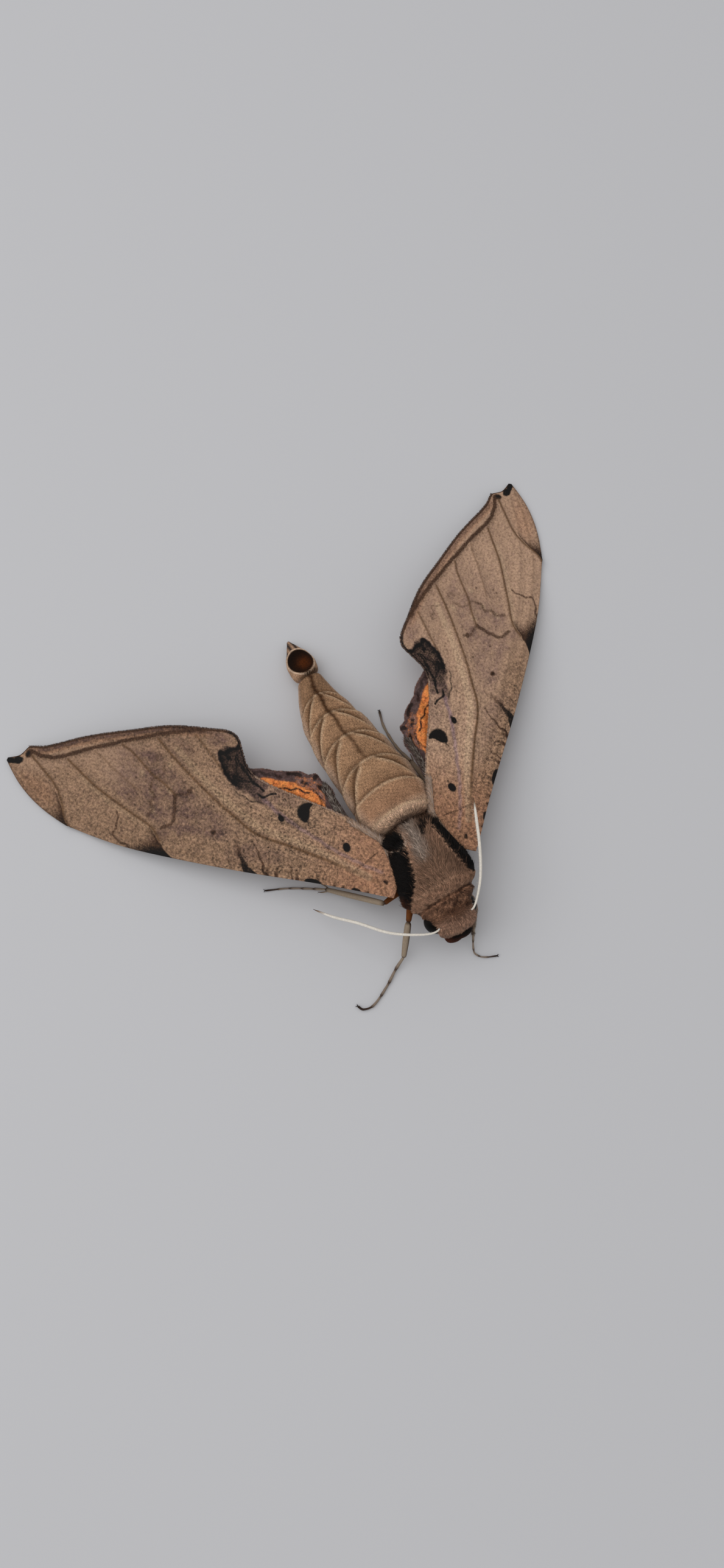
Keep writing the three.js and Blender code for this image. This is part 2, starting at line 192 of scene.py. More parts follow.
def select_only(*pieces):
    """Selects the given pieces, or none, and makes the first one active."""
    bpy.ops.object.select_all(action="DESELECT")
    for piece in reversed(pieces):
        piece.select_set(True)
        bpy.context.view_layer.objects.active = piece


def new_ball(rounds, rings):
    """A unit ball to shape into a piece, its poles at the top and the bottom."""
    select_only()
    bpy.ops.mesh.primitive_uv_sphere_add(segments=rounds, ring_count=rings, radius=1)
    return bpy.context.object


def settle(piece, slot, replaced, *materials):
    """Takes a piece from the insect's millimetres to the shared frame and hides the solids that it replaces;
    slot is not used.
    """
    set_coords(piece, coords_of(piece) * MM + np.array(ORIGIN))
    for material in materials:
        piece.data.materials.append(material)
    piece.data.polygons.foreach_set("use_smooth", np.ones(len(piece.data.polygons), bool))
    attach(piece, "root")
    if replaced:
        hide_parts(*replaced)


# ---- camera ----
CAMERA_AIM = Vector((-1.676, 15.127, 3.0))
CAMERA_DISTANCE = 147.32
CAMERA_AZIMUTH = math.radians(-29.69)
CAMERA_ELEVATION = math.radians(75)
CAMERA_LENS = 27.04

camera_data = bpy.data.cameras.new("camera")
camera_data.lens = CAMERA_LENS
camera_data.sensor_width = 36
camera_data.clip_start = 0.002
camera = bpy.data.objects.new("camera", camera_data)
bpy.context.scene.collection.objects.link(camera)
level_reach = math.cos(CAMERA_ELEVATION)
back_to_camera = Vector((math.sin(CAMERA_AZIMUTH) * level_reach, -math.cos(CAMERA_AZIMUTH) * level_reach,
                         math.sin(CAMERA_ELEVATION)))
camera.location = ORIGIN + (CAMERA_AIM + back_to_camera * CAMERA_DISTANCE) * MM
camera.rotation_euler = back_to_camera.to_track_quat("Z", "Y").to_euler()
bpy.context.scene.camera = camera


# ---- shader building ----
def srgb(red, green, blue):
    """A colour in linear light from the 0 to 255 values that it shows as."""
    light = [((c / 255 + 0.055) / 1.055) ** 2.4 if c > 10 else c / 255 / 12.92 for c in (red, green, blue)]
    return (*light, 1)


GRAIN_DEPTH = 0.00006


class Tree:
    """Puts nodes into a material's or a node group's tree, with short calls."""

    def __init__(self, tree):
        self.tree = tree

    def feed(self, socket, value):
        if isinstance(value, bpy.types.NodeSocket):
            self.tree.links.new(value, socket)
        else:
            socket.default_value = value

    def add(self, kind, inputs=None, **settings):
        node = self.tree.nodes.new(kind)
        for key, value in settings.items():
            setattr(node, key, value)
        for key, value in (inputs or {}).items():
            self.feed(node.inputs[key], value)
        return node

    def math(self, operation, a, b):
        return self.add("ShaderNodeMath", {0: a, 1: b}, operation=operation).outputs[0]

    def times(self, a, b):
        return self.math("MULTIPLY", a, b)

    def plus(self, a, b):
        return self.math("ADD", a, b)

    def mix(self, share, a, b, blend="MIX"):
        settings = {"data_type": "RGBA", "blend_type": blend, "clamp_factor": True}
        return self.add("ShaderNodeMix", {0: share, 6: a, 7: b}, **settings).outputs[2]

    def tint(self, colour, factor):
        return self.mix(1.0, colour, factor, "MULTIPLY")

    def ramp(self, value, low, high, to_low=0.0, to_high=1.0):
        inputs = dict(enumerate((value, low, high, to_low, to_high)))
        return self.add("ShaderNodeMapRange", inputs, interpolation_type="SMOOTHSTEP").outputs[0]

    def noise(self, place, scale, detail=2.0, roughness=0.5):
        inputs = {"Vector": place, "Scale": scale, "Detail": detail, "Roughness": roughness}
        return self.add("ShaderNodeTexNoise", inputs).outputs["Fac"]

    def wobble(self, strength, *noise):
        """Noise about zero."""
        return self.times(self.math("SUBTRACT", self.noise(*noise), 0.5), strength)

    def stored(self, name, kind="Fac"):
        """A value painted on the piece."""
        return self.add("ShaderNodeAttribute", attribute_name=name).outputs[kind]

    def masks(self, name):
        return list(self.add("ShaderNodeSeparateColor", {0: self.stored(name, "Color")}).outputs)

    def grey(self, value):
        return self.add("ShaderNodeCombineColor", {0: value, 1: value, 2: value}).outputs[0]

    def grain(self, group, inputs):
        """Places a grain group, and gives its colour and its height."""
        return list(self.add("ShaderNodeGroup", inputs, node_tree=group).outputs)


def new_group(name, inputs):
    """A node group that turns named inputs into a colour and the height of its grain."""
    group = bpy.data.node_groups.new(name, "ShaderNodeTree")
    for label, kind in inputs.items():
        group.interface.new_socket(label, in_out="INPUT", socket_type="NodeSocket" + kind)
    for label, kind in (("Colour", "Color"), ("Height", "Float")):
        group.interface.new_socket(label, in_out="OUTPUT", socket_type="NodeSocket" + kind)
    given = group.nodes.new("NodeGroupInput").outputs
    return group, Tree(group), given, group.nodes.new("NodeGroupOutput").inputs


def new_material(name, roughness, specular):
    material = bpy.data.materials.new(name)
    material.use_nodes = True
    shader = material.node_tree.nodes["Principled BSDF"]
    shader.inputs["Roughness"].default_value = roughness
    shader.inputs["Specular IOR Level"].default_value = specular
    return material, Tree(material.node_tree), shader.inputs


def dress(tree, sockets, colour, height, strength, depth=GRAIN_DEPTH):
    """Gives a material its colour and, through a bump, its grain."""
    tree.feed(sockets["Base Color"], colour)
    bump = tree.add("ShaderNodeBump", {"Strength": strength, "Distance": depth, "Height": height})
    tree.feed(sockets["Normal"], bump.outputs[0])


COOL = (0.74, 0.7, 0.8, 1)  # greyer, purplish scales among the others
GLINT = (1.5, 1.45, 1.4, 1)  # pale scales on the wings, and a painted glint on the coat's palest tufts


def scale_grain_group():
    """Powdery wing scales: a colour broken up scale by scale, and the height of the grain."""
    group, tree, given, out = new_group("scale grain", {
        "Place": "Vector", "Colour": "Color", "Contrast": "Float", "Dust": "Float", "Dust colour": "Color"})
    place, dust = given["Place"], given["Dust"]
    fine = tree.noise(place, 5.0, 3.0, 0.7)
    light = tree.times(tree.math("SUBTRACT", fine, 0.5), 2.0)
    light = tree.plus(light, tree.wobble(1.9, place, 2.8, 1.0, 0.6))
    light = tree.plus(light, tree.wobble(1.4, place, 0.7, 4.0, 0.65))
    gain = tree.plus(tree.times(light, given["Contrast"]), 1.0)
    base = tree.tint(given["Colour"], tree.grey(gain))
    cool = tree.ramp(tree.noise(place, 1.6, 4.0, 0.7), 0.45, 0.68)
    base = tree.mix(tree.times(cool, dust), base, tree.tint(base, COOL))
    flecks = tree.ramp(tree.noise(place, 3.1, 3.0, 0.75), 0.52, 0.62)
    base = tree.mix(tree.times(flecks, dust), base, given["Dust colour"])
    sparks = tree.ramp(tree.noise(place, 6.5, 2.0, 0.7), 0.6, 0.68)
    base = tree.mix(tree.times(sparks, dust), base, tree.tint(base, GLINT))
    tree.feed(out["Colour"], base)
    tree.feed(out["Height"], tree.math("SUBTRACT", fine, tree.times(flecks, 0.2)))
    return group


def hair_grain_group():
    """Fine fur seen from above: a colour flecked hair by hair, and the height of the nap."""
    group, tree, given, out = new_group("hair grain", {
        "Colour": "Color", "Contrast": "Float", "Scale": "Float"})
    place = tree.add("ShaderNodeTexCoord").outputs["Object"]
    fine = tree.noise(place, given["Scale"], 3.0, 0.65)
    light = tree.times(tree.math("SUBTRACT", fine, 0.5), 2.0)
    light = tree.plus(light, tree.wobble(0.6, place, 700.0, 2.0, 0.5))
    gain = tree.plus(tree.times(light, given["Contrast"]), 1.0)
    tree.feed(out["Colour"], tree.tint(given["Colour"], tree.grey(gain)))
    tree.feed(out["Height"], fine)
    return group


SCALE_GRAIN, HAIR_GRAIN = scale_grain_group(), hair_grain_group()

# ---- colours ----
TAN = srgb(160, 129, 104)
WARM_TAN = srgb(160, 114, 84)
HAZE = srgb(116, 90, 80)
LILAC = srgb(140, 113, 110)
BROWN = srgb(64, 42, 28)
NEAR_BLACK = srgb(14, 11, 10)
VEIN_BROWN = srgb(96, 69, 45)
ORANGE = srgb(234, 146, 78)
DEEP_ORANGE = srgb(218, 122, 62)
MARGIN_PURPLE = srgb(84, 64, 61)
PINK_BROWN = srgb(140, 104, 92)
PALE_HAIR = srgb(168, 146, 131)
PALE_SCALES = srgb(182, 153, 122)
UNDERSIDE = srgb(168, 110, 66)
SHADED_WING_TINT = (0.77, 0.75, 0.73, 1)  # painted shade: how a wing's ground colour is darkened where it is painted as less lit
LIT_WING_TINT = (1.25, 1.28, 1.35, 1)  # painted light: and lightened where it is painted as more lit


def ragged(tree, mask, jitter, low):
    """A mask whose edge is broken up scale by scale."""
    return tree.ramp(tree.plus(mask, tree.times(jitter, tree.ramp(mask, 0.02, 0.45))), low, 1 - low)


def forewing_material():
    material, tree, sockets = new_material("forewing scales", 0.7, 0.18)
    place = tree.stored("wing_place", "Vector")
    dark, brown, haze = tree.masks("wing_marks")
    warm, vein, pale = tree.masks("wing_tones")
    jitter = tree.wobble(1.1, place, 4.5, 3.0, 0.7)
    mottle = tree.ramp(tree.noise(place, 1.3, 4.0, 0.7), 0.38, 0.6, 0.35, 0.95)
    colour = tree.mix(warm, TAN, WARM_TAN)
    colour = tree.mix(tree.times(haze, mottle), colour, HAZE)
    # pale scales, and painted highlight beside the veins
    colour = tree.mix(pale, colour, PALE_SCALES)
    colour = tree.mix(tree.stored("wing_lilac"), colour, LILAC)
    # painted light and shade: each wing's ground colour darkened or lightened as if lit unalike
    painted_lighting = tree.stored("wing_light_and_shade")
    colour = tree.mix(painted_lighting, tree.tint(colour, SHADED_WING_TINT), tree.tint(colour, LIT_WING_TINT))
    colour = tree.mix(ragged(tree, brown, jitter, 0.08), colour, BROWN)
    colour = tree.mix(vein, colour, VEIN_BROWN)
    out = tree.add("ShaderNodeSeparateXYZ", {0: place}).outputs[0]
    contrast = tree.plus(tree.ramp(out, 14.0, 34.0, 0.8, 0.4), tree.ramp(painted_lighting, 0.0, 0.6, 0.45, 0.0))
    dust = tree.plus(0.42, tree.times(warm, 0.24))
    colour, height = tree.grain(SCALE_GRAIN, {
        "Place": place, "Colour": colour, "Contrast": contrast,
        "Dust": dust, "Dust colour": srgb(86, 60, 44)})
    colour = tree.mix(ragged(tree, dark, jitter, 0.08), colour, NEAR_BLACK)
    dress(tree, sockets, colour, height, 0.4)
    return material


def underside_material():
    material, tree, sockets = new_material("wing underside", 0.7, 0.2)
    place = tree.stored("wing_place", "Vector")
    colour = tree.mix(tree.ramp(tree.noise(place, 0.12, 2.0), 0.35, 0.65), UNDERSIDE, TAN)
    colour, height = tree.grain(SCALE_GRAIN, {
        "Place": place, "Colour": colour, "Contrast": 0.3, "Dust": 0.4, "Dust colour": srgb(96, 66, 44)})
    dress(tree, sockets, colour, height, 0.3, 0.00005)
    return material


def hindwing_material():
    material, tree, sockets = new_material("hindwing scales", 0.65, 0.2)
    place = tree.stored("wing_place", "Vector")
    dark, margin, pink = tree.masks("wing_marks")
    jitter = tree.wobble(1.3, place, 3.0, 4.0, 0.75)
    colour = tree.mix(tree.ramp(tree.noise(place, 1.3, 3.0), 0.35, 0.7), ORANGE, DEEP_ORANGE)
    colour = tree.mix(ragged(tree, pink, jitter, 0.15), colour, PINK_BROWN)
    colour = tree.mix(ragged(tree, margin, jitter, 0.15), colour, MARGIN_PURPLE)
    colour, height = tree.grain(SCALE_GRAIN, {
        "Place": place, "Colour": colour, "Contrast": 0.6, "Dust": 0.5, "Dust colour": srgb(58, 34, 26)})
    colour = tree.mix(ragged(tree, dark, jitter, 0.15), colour, srgb(34, 20, 16))
    dress(tree, sockets, colour, height, 0.4)
    return material


def skin_material(name, contrast, scale):
    """Skin under the coat, with the coat's own colours."""
    material, tree, sockets = new_material(name, 0.65, 0.06)
    given = {"Colour": tree.stored("coat_colour", "Color"), "Contrast": contrast, "Scale": scale}
    dress(tree, sockets, *tree.grain(HAIR_GRAIN, given), 0.5)
    return material


def coat_material():
    """Tufts take the colour at their roots, and each is a little lighter or darker than the next; painted
    shade darkens each toward its root, and the palest get a painted glint.
    """
    material, tree, sockets = new_material("coat", 0.55, 0.15)
    tone = tree.stored("tuft_tone_and_shade")
    colour = tree.tint(tree.stored("coat_colour", "Color"), tree.grey(tone))
    # painted glint on the palest tufts
    pale = tree.times(tree.ramp(tone, 1.15, 1.75), 0.4)
    tree.feed(sockets["Base Color"], tree.mix(pale, colour, tree.tint(colour, GLINT)))
    return material


def eye_material():
    material, tree, sockets = new_material("eye", 0.38, 0.08)
    place = tree.add("ShaderNodeTexCoord").outputs["Object"]
    facets = tree.add("ShaderNodeTexVoronoi", {"Vector": place, "Scale": 9000.0}, feature="SMOOTH_F1")
    cloud = tree.ramp(tree.noise(place, 900.0, 2.0), 0.35, 0.7)
    colour = tree.mix(cloud, srgb(5, 4, 3), srgb(17, 12, 9))
    dress(tree, sockets, colour, facets.outputs["Distance"], 0.12, 0.00003)
    return material


# ---- wings ----
def wing_place(name, side, out, back, up):
    """Where points of a wing lie: out along it, back across it, and up from its middle sheet."""
    sweep, droop, twist = (math.radians(angle) for angle in (WING_SWEEP[name], WING_DROOP, WING_TWIST))
    level_out = math.cos(droop)
    outward = np.array([side * math.cos(sweep) * level_out, math.sin(sweep) * level_out, -math.sin(droop)])
    level = np.array([-side * math.sin(sweep), math.cos(sweep), 0])
    normal = np.cross(outward, level) * side
    backward = level * math.cos(twist) - normal * math.sin(twist)
    upward = normal * math.cos(twist) + level * math.sin(twist)
    points = WING_BASE * (side, 1, 1) + np.outer(out, outward) + np.outer(back, backward)
    points += np.outer(up, upward)
    points[:, 2] -= TIP_SAG * smoothstep(TIP_SAG_FROM, WING_LENGTH - 3, out)
    return points


def near_line(places, line):
    """Each place's distance from a polyline, the side of it that it lies on, and how far along it that is."""
    best = np.full(len(places), 1e9)
    hand, share = np.zeros((2, len(places)))
    run = run_along(line)
    for i, (a, b) in enumerate(zip(line[:-1], line[1:])):
        edge = b - a
        t = np.clip(((places - a) @ edge) / max(edge @ edge, 1e-12), 0, 1)
        gap = places - (a + t[:, None] * edge)
        distance = np.hypot(gap[:, 0], gap[:, 1])
        closer = distance < best
        best[closer] = distance[closer]
        hand[closer] = (edge[0] * gap[:, 1] - edge[1] * gap[:, 0])[closer]
        share[closer] = (run[i] + t * (run[i + 1] - run[i]))[closer] / run[-1]
    return best, np.sign(hand), share


def deepen(mask, value):
    np.maximum(mask, value, out=mask)


def from_to(value, share):
    """A value that may be a pair: at a line's start and at its end."""
    first, last = value if isinstance(value, tuple) else (value, value)
    return first + (last - first) * share


def stroke(mask, places, points, width, soft, strength=1.0, wave=0.0, fade=None):
    """Darkens a mask along a line, whose width and strength may each be a pair: at its start and at its end.

    wave makes it wander a little. Where fade is given, the line's far side fades out over that width."""
    line = smooth_line(points)
    reach = np.max(width) / 2 + max(soft, fade or 0) + wave
    box = np.all((places > line.min(0) - reach) & (places < line.max(0) + reach), axis=1)
    x, y = places[box].T
    shake = np.stack([np.sin(y * 4.1 + x), np.sin(x * 3.7 - y)], axis=1)
    distance, hand, share = near_line(places[box] + wave * shake, line)
    falloff = np.where(hand > 0, fade or soft, soft)
    edge = (distance - from_to(width, share) / 2) / falloff
    mask[box] = np.maximum(mask[box], from_to(strength, share) * (1 - smoothstep(0, 1, edge)))


def spot(mask, places, centre, radii, turn=0.0, soft=0.35, strength=1.0):
    """Darkens a mask in an oval, its edge softened by a share of its size."""
    angle = math.radians(turn)
    x, y = (places - np.array(centre)).T
    a = (x * math.cos(angle) + y * math.sin(angle)) / radii[0]
    b = (-x * math.sin(angle) + y * math.cos(angle)) / radii[1]
    deepen(mask, strength * (1 - smoothstep(1 - soft, 1 + soft, np.hypot(a, b))))


FOREWING_VEINS = [
    [(4, 0), (10, .5), (15, .7), (20, .85), (23, 1.9), (26, 3.1), (29, 4.5), (32, 6.05), (35.8, 8.25)],
    [(31.3, -3.8), (32.5, -2.7), (34, -2.1), (36, -1.6), (38, -1), (40, -.4), (42, .3), (44, 1.2),
     (46.4, 2.3)],
    [(43.2, -5.8), (44.3, -4.8), (45, -3.6), (46, -2.2), (47.3, -1), (49, 0), (51.2, 1.3)],
    [(31.2, 2.2), (33, 3.1), (35, 3.8), (37, 4.9), (38.5, 5.7), (40, 6.2)],
    [(36, 1.4), (37.5, 1.9), (39, 2.5), (40.5, 3.1), (42, 3.9), (43.3, 4.3)],
    [(26.4, 6.8), (28, 8), (30, 9.3), (31.2, 10.1)],
]
VEIN_STRENGTH = [1, 1, 0.9, 0.9, 0.5, 0.8]
COSTAL_VEIN = [(3, -1), (10, -1.6), (20, -3.1), (28, -4.2), (36, -4.7), (43, -4.4), (49, -2.7), (53, -.8)]
RADIAL_VEIN = [(4, -.4), (12, -.7), (20, -1.6), (28, -2.4), (36, -2.9), (43, -2.5), (48, -1.6), (52, -.2)]
LILAC_LINE = [(3.8, 1.25), (6, 1.35), (7.8, 1.6), (9.4, 1.85), (10.8, 2.1), (12.4, 2.55), (14, 2.9),
              (15.7, 3.35), (17, 3.75), (18.2, 4.1), (19.6, 4.75), (20.5, 5.1)]
SUBMARGINAL = [(51.5, 1.75), (50, 1.7), (48.5, 1.95), (47, 2.65), (45, 3.95), (43, 5.1), (41, 6.15),
               (39, 7.25), (37, 8.3), (35, 9.25), (33, 10.15), (32, 10.5), (30.5, 10.9)]
TORNUS_UPPER = [(19.6, 6.9), (20.5, 5.9), (21, 5.5), (22, 5.2), (23, 5.3), (24, 5.5), (25, 5.7), (26, 6.3),
                (26.5, 6.9), (27, 7.6), (27.6, 8.4), (27.9, 9)]
TORNUS_LOWER = [(19.6, 6.9), (22, 7.6), (25.2, 11.4), (25.6, 11), (26, 10.3), (26.6, 9.8), (27.4, 9.5),
                (27.9, 9.1)]
HAZE_TOP = [(18, -1.6), (26, -1.8), (31, -2.4), (34, -1.6), (38, -0.4), (42, 0.8), (46, 2.2)]
HAZE_BOTTOM = [(18, 0.9), (23, 1.7), (29, 3.9), (35.8, 7.6), (40, 6.8), (46, 4)]

# Costal wedges as line, reach, reach at the costa, darkness.
COSTAL_WEDGES = [
    ([(27.9, -5.9), (28.6, -5.5), (30, -4.9), (31.3, -3.9), (32.5, -2.9), (33.2, -2.4)], 1.0, 4.6, 0.95),
    ([(42.2, -6.6), (42.8, -6.1), (44, -5.2), (44.8, -4), (45.8, -2.8), (46.8, -1.8)], 0.55, 1.3, 0.6),
]
COSTAL_STREAKS = (4.6, 7.6, 8.7, 13.3, 15.9, 17)

WING_MASKS = ("dark", "brown", "haze", "warm", "vein", "pale", "lilac")

# Lines of the forewing as mask, points, width, soft edge, strength, how far they wander.
FOREWING_STROKES = [
    ("lilac", LILAC_LINE, 0.12, 0.3, (0.5, 0.9), 0.05),
    ("haze", LILAC_LINE[6:], 0.2, 0.5, (0.2, 1.2)),
    ("brown", SUBMARGINAL, 0.2, 0.42, 0.85, 0.03),
    # the hook at the apex
    ("dark", [(54.1, -0.2), (53.4, -0.05), (52.8, 0.35)], (0.5, 0.45), 0.25),
    # marks along the costa
    ("brown", [(34.3, -6), (35.5, -5.6), (37, -5.2), (37.5, -4.6), (37.4, -3.8), (37.5, -3), (37.9, -2.1)],
     0.08, 0.28, 0.7, 0.1),
    ("dark", [(17.9, -4.3), (19.1, -4.0), (20.1, -3.2), (20.9, -2.3)], (0.95, 0.25), 0.3, (1.0, 0.6), 0.1),
    ("brown", [(19.6, -3.6), (20.8, -2.6), (21.6, -1.6), (22.3, -.2)], 0.16, 0.5, (0.9, 0.35), 0.1),
    ("brown", [(17.2, -3.7), (17.8, -2.8), (18.4, -1.8), (19.2, -1), (20.2, -.2)],
     0.1, 0.18, (0.95, 0.5), 0.1),
    ("brown", [(13.9, -3.3), (14.2, -2.2), (14.9, -1.4), (15.2, -.5)], 0.08, 0.18, (0.8, 0.4), 0.1),
    ("brown", [(23.4, -4.6), (23.8, -3.4), (24.6, -2.4)], 0.06, 0.2, (0.5, 0.2), 0.1),
    # the inner half
    ("brown", [(5.0, 3.3), (5.4, 2.55), (5.95, 2.1), (6.1, 1.4), (6.8, 0.5), (7.2, -0.15)],
     0.05, 0.14, (0.9, 0.4), 0.1),
    ("dark", [(14.5, 4.5), (14.2, 4.0), (13.9, 3.7)], 0.1, 0.15, (0.9, 0.4)),
    ("brown", [(25.5, -2.1), (26.3, -2.85), (27.7, -3.55)], 0.05, 0.3, 0.35, 0.1),
    ("brown", [(17.9, 2.7), (18.1, 1.9), (18.5, 0.75)], 0.05, 0.2, 0.4, 0.08),
    ("brown", [(33.2, 7.6), (32.6, 8.3), (31.9, 7.9), (31.5, 8.6), (31.0, 7.8)], 0.08, 0.25, 0.5, 0.2),
    # thin wavy lines across the middle, broken at the veins
    ("brown", [(31.6, -2.2), (30.8, -1.5), (30.6, -.6), (30.9, .5), (31.1, 1.4), (31.4, 2.2)],
     0.14, 0.4, 0.72, 0.08),
    ("brown", [(31.4, 2.2), (30.4, 2.6), (29.8, 2.9), (29.6, 3.6)], 0.12, 0.4, (0.5, 0.65), 0.06),
    ("brown", [(33.9, -1.3), (33.7, -.5), (34.1, .4), (34.0, 1.2), (34.6, 2), (34.9, 2.7)],
     0.12, 0.4, 0.6, 0.1),
    ("brown", [(34.9, 3.0), (33.9, 3.8), (33.8, 4.9), (33.9, 5.7)], 0.1, 0.4, 0.46, 0.14),
    ("brown", [(35.3, 5.0), (35.1, 6.2), (34.4, 6.6)], 0.1, 0.36, 0.38, 0.14),
    ("brown", [(36.5, -.6), (36.2, .6), (36.7, 1.6)], 0.06, 0.3, 0.35, 0.14),
    # the patch at the tornus
    ("dark", [(22.3, 6.9), (23.6, 6.4), (24.9, 7.6), (25.6, 9.4)], 0.1, 0.25, 0.85, 0.15),
    ("dark", [(21.6, 6.2), (22.8, 7.1), (24.1, 8.3)], 0.06, 0.2, 0.8, 0.15),
    ("haze", [(20.3, 4.95), (21.4, 5.15), (22.9, 6.0)], 0.5, 0.4, 1.4),
    ("dark", [(20.8, 5.1), (21.8, 5.4), (22.9, 6.0)], 0.5, 0.5, (0.45, 0.65)),
    ("dark", [(19.3, 6.3), (19.9, 5.8), (20.5, 5.4), (21.2, 5.4)], 0.14, 0.18, 0.95, 0.1),
    ("dark", [(20.6, 4.7), (21.2, 4.5), (22.2, 4.5), (23.3, 4.7), (24.4, 5.1)], 0.06, 0.2, (0.75, 0.5), 0.1),
    ("dark", [(20.9, 6.2), (21.9, 6.5), (22.8, 6.9), (24.4, 8.1), (25.2, 8.9)], 0.14, 0.24, 0.9, 0.1),
    # painted highlight along the lit side of two veins
    ("pale", [(5, 0.2), (12, 1.2), (20, 1.75), (23, 2.75), (26, 4.0), (29, 5.4), (33, 7.7)], 0.4, 0.4, 0.5),
    ("pale", [(31, -4.4), (33, -2.8), (36, -2.0), (40, -.9), (44, .8)], 0.3, 0.4, 0.35),
]

# Spots of the forewing as mask, centre, half sizes, turn, softness, strength.
FOREWING_SPOTS = [
    ("dark", (52.9, 0.2), (0.7, 0.5), -25, 0.3),
    ("dark", (51.85, 1.35), (0.4, 0.3), -60, 0.4, 0.75),
    ("brown", (51.7, 1.5), (0.65, 0.5), -60, 0.4),
    ("dark", (18.9, -4.3), (1.2, 0.45), -5, 0.35),
    ("dark", (11.3, -2.55), (1.15, 0.5), -5, 0.25),
    ("dark", (6, -1.75), (0.65, 0.32), 0, 0.4, 0.9),
    ("brown", (2.9, 0.3), (0.34, 0.26), 30, 0.5, 0.8),
    ("dark", (3.0, 0.25), (0.26, 0.14), 30, 0.5, 0.7),
    ("dark", (8.75, 2.75), (0.62, 0.46), 50, 0.22),
    ("dark", (9.4, 3.35), (0.26, 0.2), 45, 0.5, 0.6),
    ("dark", (17.6, 3.55), (0.48, 0.36), 30, 0.3),
    ("dark", (17.95, 3.9), (0.3, 0.22), 30, 0.4, 0.7),
    ("brown", (25.15, -.7), (0.34, 0.32), 0, 0.5),
    ("dark", (25.15, -.7), (0.2, 0.2), 0, 0.5, 0.5),
    ("haze", (32, 7.9), (1.3, 0.8), 0, 0.6, 0.6),
    ("haze", (17.4, -1.2), (2.2, 0.9), -5, 0.6, 0.6),
    ("haze", (31.5, -3.2), (1.4, 0.8), -40, 0.5, 0.8),
    ("haze", (29.1, -2), (0.55, 0.5), 0, 0.5, 1.2),
    ("brown", (29.75, 3.2), (0.42, 0.32), 0, 0.5, 0.8),
    *[("brown", centre, (0.2, 0.2), 0, 0.5, 0.6)
      for centre in ((26.8, 2.2), (29, 0), (37, 0), (37.3, .5), (37, 2.8))],
    ("dark", (26.3, 8.6), (0.35, 0.28), 0, 0.4),
    ("dark", (24.6, 6.5), (0.9, 0.4), 20, 0.5, 0.9),
    ("haze", (20.4, -1.8), (2.3, 1.2), -30, 0.6, 0.7),
    ("haze", (36, 5.6), (2.2, 1.3), -30, 0.6, 0.35),
    ("haze", (28.2, 10.5), (1.5, 0.9), -15, 0.5, 0.9),
    ("warm", (49, -2.6), (3.0, 1.4), 20, 0.6, 0.3),
    *[("pale", knee, (0.5, 0.35), 40, 0.5, 0.45)
      for knee in ((32.2, 2.6), (33.6, -0.4), (34.4, 1.6), (33.2, 5.6), (36.4, 3.6))],
]


